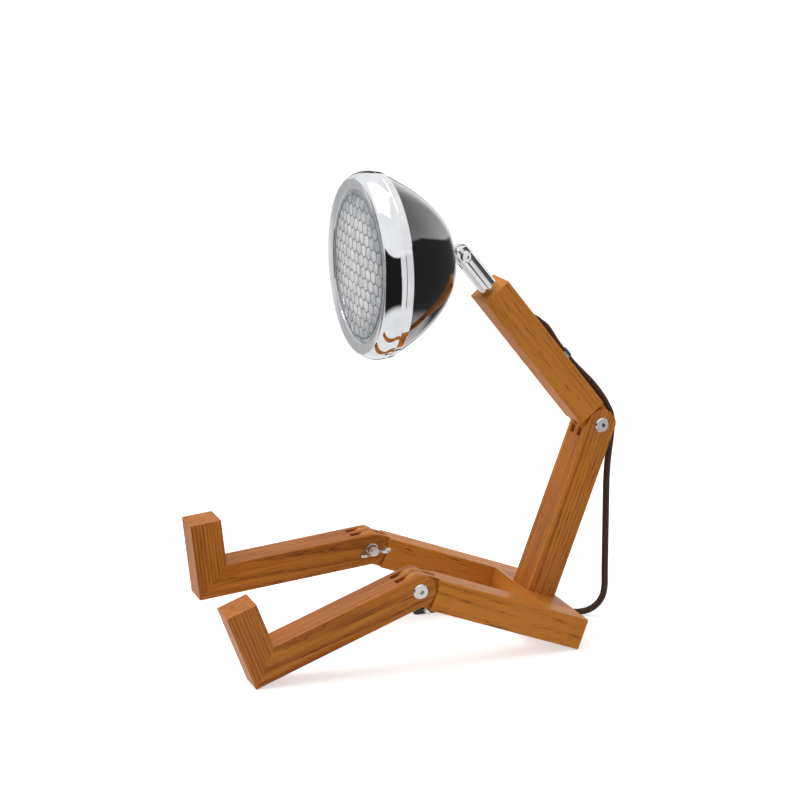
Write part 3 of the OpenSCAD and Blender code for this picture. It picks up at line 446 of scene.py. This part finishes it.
def braided_textile():
    """Textile braid that follows a cord's own UV map: U counts yarns round it, V counts along it."""
    cord = settings().cord
    made, f = material("braided_textile")
    u, v, _ = f.parts(f.add("ShaderNodeTexCoord", output=OWN_UV))
    right, left = u + v, u - v
    over = ((right.floor() + left.floor()) * 0.5).fraction() > 0.25
    right_yarn = (right.fraction() * math.pi).sine()
    left_yarn = (left.fraction() * math.pi).sine()
    lay = right_yarn * over + left_yarn * (1.0 - over)
    strands = f.noise(f.flat(right * 7.0 * over + left * 7.0 * (1.0 - over), v * 1.3), 1.0, 2.0)
    fuzz = f.noise(f.flat(u * 9.0, v * 9.0), 1.0, 3.0)
    height = lay.root() + strands * 0.35
    # Painted shade: lay darkens the colour towards each yarn's edges, in the grooves between yarns; the
    # strands and fuzz vary it at random
    tone = lay * 0.45 + over * 0.15 + strands * 0.45 + (fuzz - 0.5) * 0.5
    shade = f.blend(tone.step(0.15, 1.1), tuple(cord.dark), tuple(cord.light))
    return finish_off(made, f, Base_Color=shade, Roughness=0.62 + fuzz * 0.2,
                      Normal=f.bump(height, 0.00035, 0.9), Sheen_Weight=0.35, Sheen_Roughness=0.4,
                      Sheen_Tint=(0.62, 0.42, 0.30, 1.0))


def dress(finish, *names):
    """Gives CAD nodes a finish in their own material slots."""
    for name in names:
        slots = frame["nodes"][name].material_slots
        if not slots:
            raise RuntimeError(f"{name} has no material slot")
        for slot in slots:
            slot.material = finish


# ---------- mesh helpers ----------

WELD, SLIVER = 1e-6, 1e-7
TURN_STEPS = 160


def to_object(mesh_kit, name, finish, smooth_below=40.0):
    """Turns a bmesh into an object in the scene, smooth except over sharp edges."""
    for face in mesh_kit.faces:
        face.smooth = True
    limit = math.radians(smooth_below)
    for edge in mesh_kit.edges:
        if len(edge.link_faces) == 2 and edge.calc_face_angle(0.0) > limit:
            edge.smooth = False
    mesh = bpy.data.meshes.new(name)
    mesh_kit.to_mesh(mesh)
    mesh_kit.free()
    mesh.materials.append(finish)
    made = bpy.data.objects.new(name, mesh)
    bpy.context.scene.collection.objects.link(made)
    return made


def turned(name, outline, matrix, finish, smooth_below=40.0):
    """Spins a closed outline of (radius, height) points, in mm, about a frame's Z."""
    kit = bmesh.new()
    points = [kit.verts.new((r * MM, 0, h * MM)) for r, h in outline]
    edges = [kit.edges.new(pair) for pair in zip(points, points[1:] + points[:1])]
    bmesh.ops.spin(kit, geom=points + edges, cent=(0, 0, 0), axis=(0, 0, 1), angle=math.tau,
                   steps=TURN_STEPS, use_merge=True)
    bmesh.ops.remove_doubles(kit, verts=kit.verts, dist=WELD)
    bmesh.ops.dissolve_degenerate(kit, edges=kit.edges, dist=SLIVER)
    bmesh.ops.recalc_face_normals(kit, faces=kit.faces)
    bmesh.ops.transform(kit, matrix=matrix, verts=kit.verts)
    return to_object(kit, name, finish, smooth_below)


def quarter_turned(node, joint, finish):
    """Copy of a node, done up a quarter turn further about its joint."""
    kit = bmesh.new()
    source = frame["nodes"][node]
    kit.from_mesh(source.data)
    pivot = Matrix.Translation(joint_at(joint))
    quarter = pivot @ Matrix.Rotation(math.pi / 2, 4, axis_of(joint)) @ pivot.inverted()
    bmesh.ops.transform(kit, matrix=quarter @ source.matrix_world, verts=kit.verts)
    bmesh.ops.remove_doubles(kit, verts=kit.verts, dist=WELD)
    bmesh.ops.recalc_face_normals(kit, faces=kit.faces)
    return to_object(kit, f"{node}_done_up", finish, 35.0)


# ---------- outlines of the head's turned pieces: radius and distance from the rim, in mm ----------

# Bowl: its radius, the power of its curve, its wall, how far it goes in under the bezel, and the stud's hole
BOWL_R, BOWL_POWER, BOWL_WALL, BOWL_TUCK, STUD_HOLE_R = 84.0, 2.5, 1.6, 8.0, 4.09
# Bezel: widest radius and where it lies, whole depth, wall, and where the band ends in its groove
BEZEL_R, BEZEL_BULGE, BEZEL_DEPTH, BEZEL_WALL, BAND_END = 86.2, 14.0, 25.6, 1.4, 18.0
# Front ring: outer radius, fall in to the lens, how far it laps the lens's edge, and its thickness there
RIM_R, RIM_FALL, LENS_LIP, LIP_T = 80.0, 2.0, 2.5, 0.6
# Lens: radius, thickness, rise of its dome, and distance of its edge from the rim
LENS_R, LENS_T, LENS_RISE, LENS_SEAT = 73.0, 2.2, 5.0, RIM_FALL + 1.1


def bowl_curve(radius, depth, steps=72):
    """Half section of a bowl from the stud hole out to the bezel."""
    first = STUD_HOLE_R / radius
    shares = [first + (1 - first) * math.sin(math.pi / 2 * k / steps) for k in range(steps + 1)]
    return [(radius * f, BEZEL_DEPTH + depth * (1 - f ** BOWL_POWER)) for f in shares]


def bowl_outline():
    """Outer and inner curve, joined by a straight tuck under the bezel."""
    depth, tuck_end = HEAD_DEPTH - BEZEL_DEPTH, BEZEL_DEPTH - BOWL_TUCK
    outer = bowl_curve(BOWL_R, depth)
    inner = bowl_curve(BOWL_R - BOWL_WALL, depth - BOWL_WALL)
    tuck = [(BOWL_R, BEZEL_DEPTH - 3), (BOWL_R, tuck_end), (BOWL_R - BOWL_WALL, tuck_end)]
    return outer + tuck + inner[::-1]


def bezel_outline(steps=28):
    """Front ring that falls in to the lens, convex side, groove and rear band, with folded edges."""
    out = BEZEL_R - RIM_R
    arc_r = (BEZEL_BULGE ** 2 + out ** 2) / (2 * out)
    start = math.asin(BEZEL_BULGE / arc_r)
    angles = [start * (1 - k / steps) for k in range(steps + 1)]
    arc = [(BEZEL_R - arc_r * (1 - math.cos(a)), BEZEL_BULGE - arc_r * math.sin(a)) for a in angles]
    ring = [(LENS_R - LENS_LIP, RIM_FALL + 0.4), (LENS_R - LENS_LIP + 0.3, RIM_FALL),
            (RIM_R - 0.9, 0.32), (RIM_R - 0.35, 0.08)]
    band = [(BEZEL_R - 0.1, BAND_END - 0.4), (BEZEL_R - 0.35, BAND_END - 0.15), (BEZEL_R - 0.5, BAND_END),
            (BEZEL_R - 0.42, BAND_END + 0.2), (BEZEL_R - 0.3, BAND_END + 0.4),
            (BOWL_R + 1.0, BEZEL_DEPTH - 0.8), (BOWL_R + 0.75, BEZEL_DEPTH - 0.2),
            (BOWL_R + 0.4, BEZEL_DEPTH), (BOWL_R + 0.1, BEZEL_DEPTH)]
    inside = [(BOWL_R + 0.1, BEZEL_BULGE), (RIM_R + 2 * BEZEL_WALL, BEZEL_BULGE * 0.45),
              (RIM_R - BEZEL_WALL, BEZEL_WALL), (LENS_R - LENS_LIP, RIM_FALL + LIP_T)]
    return ring + arc + band + inside


def lens_outline(steps=32):
    """Dome of even thickness."""
    shares = [k / steps for k in range(steps + 1)]
    front = [(LENS_R * f, LENS_SEAT - LENS_RISE * (1 - f * f)) for f in shares]
    return front + [(r, h + LENS_T) for r, h in front[::-1]]


# ---------- cord: the route's points are those of the part's source, in millimetres ----------

# Backward and upward in the chest's frame, and then from the hinge
ALONG_CHEST = [
    (0, 163), (0.2, 158), (1.1, 154), (2.4, 150.5), (5.8, 143.4), (11.7, 130.7), (17.6, 118),
    (19.4, 113), (20.1, 107), (19.8, 101), (19, 94), (18.5, 86), (18.4, 78), (18.4, 70),
    (18.4, 66), (18.8, 58), (19.9, 47), (21.3, 34), (21.6, 21)]
ROUND_HINGE = [
    (11.4, 18.8), (14.4, 13), (16.9, 8.2), (18.4, 3.2), (18.9, -2), (18.8, -9), (18, -18),
    (16.7, -28), (15.4, -39), (14.5, -51), (14, -64)]
# Heights of the points on the straight drop, then points counted from FLOOR_AT
DROP_HEIGHTS = [120, 105, 90, 75, 60, 45]
TO_SWITCH = [
    (0, 65.5, 28.8), (-0.5, 63.6, 19), (-1.9, 58.3, 10.7), (-4.1, 50.3, 5.2), (-6.6, 40.9, 3.25),
    (-11.7, 31.1, 3.25), (-20.4, 24.4, 3.25), (-30, 22, 3.6), (-37, 22, 4.8), (-41, 22, 5), (-46, 22, 5)]
FROM_SWITCH = (-108, 22, 5)
TO_COIL = [
    (-111, 22, 5), (-116.5, 20.9, 4.3), (-124, 16.9, 3.5), (-130, 10.9, 3.25), (-136, 4.9, 3.25),
    (-142, 1, 3.25)]
TO_PLUG = [(-141, -91.9, 9.7), (-134, -92, 8.6), (-127, -92, 7.3), (-120, -92, 6.7), (-114, -92, 6.7)]
# Height of the cord's middle where it lies, its straight ends at the coil, and its ease into them
CORD_REST, COIL_STUB, COIL_EASE = 3.25, 6.5, 4
# The coil winds in on the floor and out on top of itself: its middle, its turns, and its steps to a turn
COIL_MIDDLE, COIL_TURNS, COIL_STEPS = (-158, -46), 5.5, 24
# Its least radius, and the distance from one turn to the next and from one layer to the other
COIL_INNER, COIL_PITCH = 26.5, 7.0
# Points of the whole route at which one piece of cord ends and the next begins
CLIP_END = 14
HANG_START = len(ALONG_CHEST) + len(ROUND_HINGE) - 1
DROP_END = HANG_START + len(DROP_HEIGHTS) + 5
# Metres between the rings of a cord's mesh, and sides of a ring
RING_GAP, COIL_RING_GAP, CORD_SIDES = 0.0022, 0.0032, 12


def on_floor(point):
    return FLOOR_AT + Vector(point) * MM


def coil_point(turns):
    """Point of the coil after a number of turns, the upper layer from its middle on."""
    angle, past_middle = math.radians(90 + 360 * turns), turns - COIL_TURNS / 2
    radius = COIL_INNER + COIL_PITCH * abs(past_middle)
    climb = min(1.0, max(0.0, 0.5 + 2 * past_middle))
    height = CORD_REST + COIL_PITCH * (1 - math.cos(math.pi * climb)) / 2
    return on_floor((COIL_MIDDLE[0] + radius * math.cos(angle),
                     COIL_MIDDLE[1] + radius * math.sin(angle), height))


def cord_routes():
    """The cord's points from the chest's bush to the switch, and from the switch to the plug."""
    back = [CHEST @ (Vector((0, b, up)) * MM) for b, up in ALONG_CHEST]
    bend = [HINGE + Vector((0, b, up)) * MM for b, up in ROUND_HINGE]
    foot = [on_floor(point) for point in TO_SWITCH]
    top, bottom = bend[-1], foot[0]
    drop = [top.lerp(bottom, (top.z - z * MM) / (top.z - bottom.z)) for z in DROP_HEIGHTS]
    for point, z in zip(drop, DROP_HEIGHTS):
        point.z = z * MM
    whole = back + bend + drop + foot
    stub, ease = Vector((COIL_STUB, 0, 0)) * MM, Vector((COIL_EASE, 0, 0)) * MM
    coil = [coil_point(k / COIL_STEPS) for k in range(int(COIL_TURNS * COIL_STEPS) + 1)]
    coil = [coil[0] + stub] + coil + [coil[-1] + stub]
    link = [on_floor(FROM_SWITCH)] + [on_floor(p) for p in TO_COIL] + [coil[0] + ease, coil[0]]
    tail = [coil[-1], coil[-1] + ease] + [on_floor(p) for p in TO_PLUG]
    return whole, link[:-1] + coil[:-1] + tail


def smooth_line(points, gap):
    """Points of a smooth curve through the ones given, about a gap apart."""
    line = []
    padded = [2 * points[0] - points[1]] + points + [2 * points[-1] - points[-2]]
    for a, b, c, d in zip(padded, padded[1:], padded[2:], padded[3:]):
        chord = (c - b).length
        count = max(1, round(chord / gap))
        start, end = (c - a).normalized() * chord, (d - b).normalized() * chord
        for k in range(count):
            t = k / count
            line.append(b * (2 * t**3 - 3 * t**2 + 1) + start * (t**3 - 2 * t**2 + t)
                        + c * (3 * t**2 - 2 * t**3) + end * (t**3 - t**2))
    return line + [points[-1]]


def cord_tube(name, points, finish, gap=RING_GAP):
    """Closed tube along a line, with a UV map that counts the braid's yarns."""
    cord = settings().cord
    line = smooth_line(points, gap)
    last = len(line) - 1
    tangents = [(line[min(i + 1, last)] - line[max(i - 1, 0)]).normalized() for i in range(last + 1)]
    kit = bmesh.new()
    braid = kit.loops.layers.uv.new("braid")
    bmesh.ops.create_grid(kit, x_segments=CORD_SIDES, y_segments=last, size=1.0, calc_uvs=True)
    off_axis = Vector((0.1, 0.2, 1))
    travelled, normals, normal = [0.0], [], off_axis.cross(tangents[0])
    for i, tangent in enumerate(tangents):
        normal = (normal - tangent * normal.dot(tangent)).normalized()
        normals.append(normal)
        if i:
            travelled.append(travelled[-1] + (line[i] - line[i - 1]).length)
    pitch = math.pi * cord.thick / cord.yarns
    for vert in kit.verts:
        i = round((vert.co.y + 1) / 2 * last)
        angle = math.pi * (vert.co.x + 1)
        vert.co = line[i] + cord.thick / 2 * (
            math.cos(angle) * normals[i] + math.sin(angle) * tangents[i].cross(normals[i]))
    for face in kit.faces:
        for loop in face.loops:
            u, v = loop[braid].uv
            loop[braid].uv = (u * cord.yarns, travelled[round(v * last)] / pitch)
    bmesh.ops.remove_doubles(kit, verts=kit.verts, dist=WELD)
    bmesh.ops.holes_fill(kit, edges=[e for e in kit.edges if e.is_boundary], sides=0)
    bmesh.ops.recalc_face_normals(kit, faces=kit.faces)
    made = to_object(kit, name, finish, 60.0)
    return made, line


# ---------- operators, one for each piece or group of like pieces ----------

FLOOR_RADIUS, FLOOR_SINK = 6.0, 0.0002


class LAMP_OT_camera(Operator):
    """Sets up the camera at the photograph's place and angle"""
    bl_idname = "figure_lamp.camera"
    bl_label = "Camera"

    def execute(self, context):
        data = bpy.data.cameras.new("photograph_view")
        data.sensor_width, data.lens = SENSOR_MM, FOCAL_MM
        data.clip_start, data.clip_end = 0.05, 50.0
        camera = bpy.data.objects.new("photograph_view", data)
        turn = Matrix((CAMERA_RIGHT, CAMERA_UP, CAMERA_RIGHT.cross(CAMERA_UP))).transposed()
        camera.matrix_world = Matrix.Translation(CAMERA_SPOT + FLOOR_AT) @ turn.to_4x4()
        context.scene.collection.objects.link(camera)
        context.scene.camera = camera
        return {"FINISHED"}


class LAMP_OT_cord(Operator):
    """Makes the textile cord from the chest to the plug in pieces; the piece on the back follows the upper
    body, and the pieces to the switch and past it follow the pelvis
    """
    bl_idname = "figure_lamp.cord"
    bl_label = "Textile Cord"

    def execute(self, context):
        finish = braided_textile()
        whole, spare_points = cord_routes()
        back, back_line = cord_tube("cord_on_the_back", whole[:CLIP_END + 1], finish)
        bend, bend_line = cord_tube("cord_over_the_hinge", whole[CLIP_END:HANG_START + 1], finish)
        drop, drop_line = cord_tube("cord_hanging", whole[HANG_START:DROP_END + 1], finish)
        run, run_line = cord_tube("cord_to_the_switch", whole[DROP_END:], finish)
        spare, spare_line = cord_tube("cord_coil_and_tail", spare_points, finish, COIL_RING_GAP)
        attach(back, "upper_body")
        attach(run, "pelvis")
        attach(spare, "pelvis")
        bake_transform(bend)
        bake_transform(drop)
        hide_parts("cord_back")
        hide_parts("cord_bend")
        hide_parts("cord_drop")
        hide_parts("cord_floor")
        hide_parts("cord_link", "cord_coil", "cord_tail")
        switch = ["switch_base", "switch_cover", "switch_rocker", "switch_screws"]
        plug = ["plug_body", "plug_pins"]
        pieces = (
            (back, back_line, "object", "loose", []),
            (bend, bend_line, "object", "hanging", []),
            (drop, drop_line, "object", "hanging", []),
            (run, run_line, "connector", "loose", switch),
            (spare, spare_line, "plug", "coiled", plug))
        for piece, line, far_end, lay, on_it in pieces:
            measured = sum((b - a).length for a, b in zip(line, line[1:]))
        return {"FINISHED"}


class LAMP_OT_timber(Operator):
    """Gives each beam, block and dowel its own cut of oiled wood"""
    bl_idname = "figure_lamp.timber"
    bl_label = "Timber"

    def execute(self, context):
        side, back, up = (SEAT.col[k].xyz for k in range(3))
        # Each node with its frame along the grain, its seed and its paleness
        cuts = [
            ("lower_torso", place(TORSO.translation, TORSO.col[2].xyz, -TORSO.col[0].xyz), 1.3, 0.05),
            ("chest", place(CHEST.translation, CHEST.col[2].xyz, -CHEST.col[0].xyz), 2.1, 0.52),
            ("left_thigh", place(joint_at("left_knee"), back, side), 3.7, 0.42),
            ("right_thigh", place(joint_at("right_knee"), back, up), 4.9, 0.52),
            ("hip_block", place(SEAT.translation, side, up), 5.2, 0.05),
            ("hip_dowels", place(SEAT.translation, side, up), 6.4, -0.10),
        ]
        for leg, shin_seed, foot_seed in (("left", 7.1, 8.6), ("right", 9.4, 11.5)):
            knee, fall = joint_at(f"{leg}_knee"), math.radians(SHIN_FALL[leg])
            along = Vector((0, -math.cos(fall), -math.sin(fall)))
            upward = Vector((0, -math.sin(fall), math.cos(fall)))
            cuts.append((f"{leg}_shin", place(knee, along, SIDEWAYS), shin_seed, -0.16))
            cuts.append((f"{leg}_foot", place(knee, upward, SIDEWAYS), foot_seed, -0.10))
        for node, matrix, seed, paleness in cuts:
            dress(oiled_wood(f"oiled_wood_{node}", matrix, seed, paleness), node)
        return {"FINISHED"}


class LAMP_OT_fasteners(Operator):
    """Plates the bolts, washers, nuts, screws, insert and plug pins, and does the knees' wing nuts up"""
    bl_idname = "figure_lamp.fasteners"
    bl_label = "Fasteners"

    def execute(self, context):
        zinc = polished("zinc_plate", settings().metal.zinc, roughness=0.24, wear=0.05, grain=0.01)
        dress(zinc, "chest_bolt", "chest_washer", "chest_wing_nut", "waist_bolt", "waist_washer",
              "left_knee_bolt", "left_knee_washer", "right_knee_bolt", "right_knee_washer",
              "knuckle_nut", "clip_screws", "switch_screws")
        for side in ("left", "right"):
            nut = quarter_turned(f"{side}_wing_nut", f"{side}_nut_turn", zinc)
            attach(nut, f"{side}_nut")
            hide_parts(f"{side}_wing_nut")
        brass = polished("brass_insert", (0.72, 0.52, 0.22), roughness=0.30, wear=0.10, grain=0.05)
        nickel = polished("nickel_pins", (0.72, 0.69, 0.62), roughness=0.18, wear=0.06, grain=0.04)
        dress(brass, "waist_insert")
        dress(nickel, "plug_pins")
        return {"FINISHED"}


class LAMP_OT_head(Operator):
    """Turns the bowl and bezel, and finishes the neck, knuckle, clip, reflector and lamp holder"""
    bl_idname = "figure_lamp.head"
    bl_label = "Head and Neck"

    def execute(self, context):
        chrome = polished("polished_chrome", settings().metal.chrome, roughness=0.035, wear=0.03)
        bowl = turned("enamelled_bowl", bowl_outline(), RIM, gloss_enamel(), smooth_below=50.0)
        bezel = turned("chrome_bezel", bezel_outline(), RIM, chrome, smooth_below=14.0)
        for piece, node in ((bowl, "head_shell"), (bezel, "bezel")):
            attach(piece, "head")
            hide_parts(node)
        dress(chrome, "neck_tube", "knuckle", "pivot_screw")
        steel = polished("clip_steel", (0.30, 0.30, 0.31), roughness=0.22, wear=0.10, grain=0.05)
        dress(steel, "cord_clip")
        mirror = polished("bright_reflector", (0.90, 0.90, 0.91), roughness=0.06, wear=0.05)
        dress(mirror, "reflector")
        dress(moulded("black_gasket", (0.015, 0.015, 0.016), 0.55), "lens_gasket")
        dress(moulded("lamp_holder_black", (0.014, 0.014, 0.015), 0.40), "lamp_holder", "head_lead")
        return {"FINISHED"}


class LAMP_OT_glass(Operator):
    """Turns the lens with its honeycomb, and frosts the bulb"""
    bl_idname = "figure_lamp.glass"
    bl_label = "Lens and Bulb"

    def execute(self, context):
        lens = turned("headlamp_lens", lens_outline(), RIM, pressed_glass())
        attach(lens, "head")
        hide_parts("lens")
        dress(frosted_bulb(), "bulb")
        return {"FINISHED"}


class LAMP_OT_mouldings(Operator):
    """Finishes the sleeve, switch and plug"""
    bl_idname = "figure_lamp.mouldings"
    bl_label = "Sleeve, Switch and Plug"

    def execute(self, context):
        black = settings().cord.black
        dress(moulded("moulded_black", black), "switch_base", "switch_cover", "plug_body")
        dress(moulded("sleeve_brown_black", (0.030, 0.016, 0.010), 0.45), "cord_sleeve")
        dress(moulded("rocker_black", (0.018, 0.018, 0.019), 0.22), "switch_rocker")
        return {"FINISHED"}


class LAMP_OT_studio(Operator):
    """Lays the pale floor and sets the soft light of a photographer's studio"""
    bl_idname = "figure_lamp.studio"
    bl_label = "Studio"

    def execute(self, context):
        studio = settings().studio
        self.floor(studio)
        self.sky(context, studio)
        self.softbox(context, "overhead_lamp", spot=(-0.25, -0.35, 1.9), aim=(0, 0, 0.15), size=1.5,
                     power=studio.key)
        self.softbox(context, "front_lamp", spot=(-0.55, -1.9, 0.9), aim=(0, 0, 0.2), size=1.2,
                     power=studio.fill)
        context.scene.view_settings.view_transform = "Standard"
        return {"FINISHED"}

    def floor(self, studio):
        """Paper floor: the camera sees it glow, and polished faces see it end in the flags."""
        kit = bmesh.new()
        bmesh.ops.create_circle(kit, cap_ends=True, segments=64, radius=FLOOR_RADIUS)
        bmesh.ops.translate(kit, vec=(0, 0, -FLOOR_SINK), verts=kit.verts)
        made, f = material("studio_floor")
        ray = f.add("ShaderNodeLightPath").socket.node.outputs
        seen = Wire(f, ray["Is Camera Ray"]).most(Wire(f, ray["Is Transmission Ray"]))
        mirrored = Wire(f, ray["Is Glossy Ray"])
        x, y, _ = f.parts(f.surface_point())
        paper = f.noise(f.surface_point(), 9.0, 3.0)
        shade = f.blend(paper * 0.05, tuple(studio.floor), (0.80, 0.80, 0.80))
        lit = f.add("ShaderNodeBsdfDiffuse", None, {"Color": shade})
        glow = f.add("ShaderNodeEmission", None, {"Color": WHITE, "Strength": seen * studio.glow})
        both = f.add("ShaderNodeAddShader", None, {0: lit, 1: glow})
        away = (x * x + y * y).root()
        far = away.step(0.40, 0.55)
        level = (1.0 - far) * 0.93 + far * self.flags(x / away, y / away)
        card = f.add("ShaderNodeEmission", None, {"Color": WHITE, "Strength": level})
        surface = f.add("ShaderNodeMixShader", None, {0: mirrored, 1: both, 2: card})
        f.add("ShaderNodeOutputMaterial", None, {"Surface": surface})
        to_object(kit, "studio_floor", made)

    @staticmethod
    def flags(x, y):
        """Brightness that polished faces mirror near the horizon, in the direction of X and Y.

        The walls are pale, with dark flags beside, beyond and behind the lamp and a grey one ahead.
        """
        beside = x.step(0.25, 0.35) * (1.0 - y.step(0.20, 0.28))
        beyond = (1.0 - x.step(-0.92, -0.84)) * y.step(0.10, 0.25)
        behind = y.step(0.55, 0.82)
        ahead = (1.0 - x.step(-0.80, -0.60)) * (1.0 - y.step(-0.20, 0.0))
        level = 0.88
        for flag, dimmed_by in ((beside, 0.985), (beyond, 0.96), (behind, 0.90), (ahead, 0.42)):
            level = level * (1.0 - flag * dimmed_by)
        return level

    def sky(self, context, studio):
        """White to the camera, even light on the rest, and a tent with flags in what is mirrored."""
        world = bpy.data.worlds.new("studio_sky")
        world.use_nodes = True
        f = Finish(world.node_tree)
        ray = f.add("ShaderNodeLightPath").socket.node.outputs
        seen = Wire(f, ray["Is Camera Ray"])
        mirrored = Wire(f, ray["Is Glossy Ray"]).most(Wire(f, ray["Is Transmission Ray"]))
        x, y, z = f.parts(f.add("ShaderNodeTexCoord", output=DIRECTION))
        wall_top = 0.29 + x.least(0.0) * 0.42 * y.step(0.30, 0.50)
        high = (z - wall_top).step(0.0, 0.03)
        behind = y.step(0.55, 0.75)
        far_side = (1.0 - x.step(-0.95, -0.25)) * behind
        roof = (1.0 + behind * (0.7 - z * 2.2)).most(0.12) * (1.0 - far_side * 0.80)
        tent = high * roof + (1.0 - high) * self.flags(x, y)
        strength = studio.sky * (1.0 - seen).least(1.0 - mirrored) + seen.most(mirrored * tent)
        shine = f.add("ShaderNodeBackground", None, {"Color": WHITE, "Strength": strength})
        f.add("ShaderNodeOutputWorld", None, {"Surface": shine})
        context.scene.world = world

    @staticmethod
    def softbox(context, name, spot, aim, size, power):
        """Square lamp at a spot, turned to what it aims at."""
        data = bpy.data.lights.new(name, "AREA")
        data.shape, data.size, data.energy = "SQUARE", size, power
        lamp = bpy.data.objects.new(name, data)
        turn = (Vector(aim) - Vector(spot)).to_track_quat("-Z", "Y")
        lamp.matrix_world = Matrix.Translation(spot) @ turn.to_matrix().to_4x4()
        context.scene.collection.objects.link(lamp)


STEPS = (LAMP_OT_camera, LAMP_OT_cord, LAMP_OT_timber, LAMP_OT_head, LAMP_OT_glass,
         LAMP_OT_fasteners, LAMP_OT_mouldings, LAMP_OT_studio)


class LAMP_PT_steps(Panel):
    """Lists the lamp's steps and their settings"""
    bl_label = "Sitting Figure Lamp"
    bl_idname = "LAMP_PT_steps"
    bl_space_type = "VIEW_3D"
    bl_region_type = "UI"
    bl_category = "Lamp"

    def draw(self, context):
        layout = self.layout
        for step in STEPS:
            layout.operator(step.bl_idname)
        groups = context.scene.figure_lamp
        for group in (groups.timber, groups.metal, groups.glass, groups.cord, groups.studio):
            box = layout.box()
            for name in group.__annotations__:
                box.prop(group, name)


CLASSES = (TimberSettings, MetalSettings, GlassSettings, CordSettings, StudioSettings, LampSettings,
           *STEPS, LAMP_PT_steps)


def register():
    for one in CLASSES:
        bpy.utils.register_class(one)
    bpy.types.Scene.figure_lamp = PointerProperty(type=LampSettings)


def unregister():
    del bpy.types.Scene.figure_lamp
    for one in reversed(CLASSES):
        bpy.utils.unregister_class(one)


def main():
    register()
    for step in STEPS:
        section, call = step.bl_idname.split(".")
        getattr(getattr(bpy.ops, section), call)()


if __name__ == "__main__":
    main()
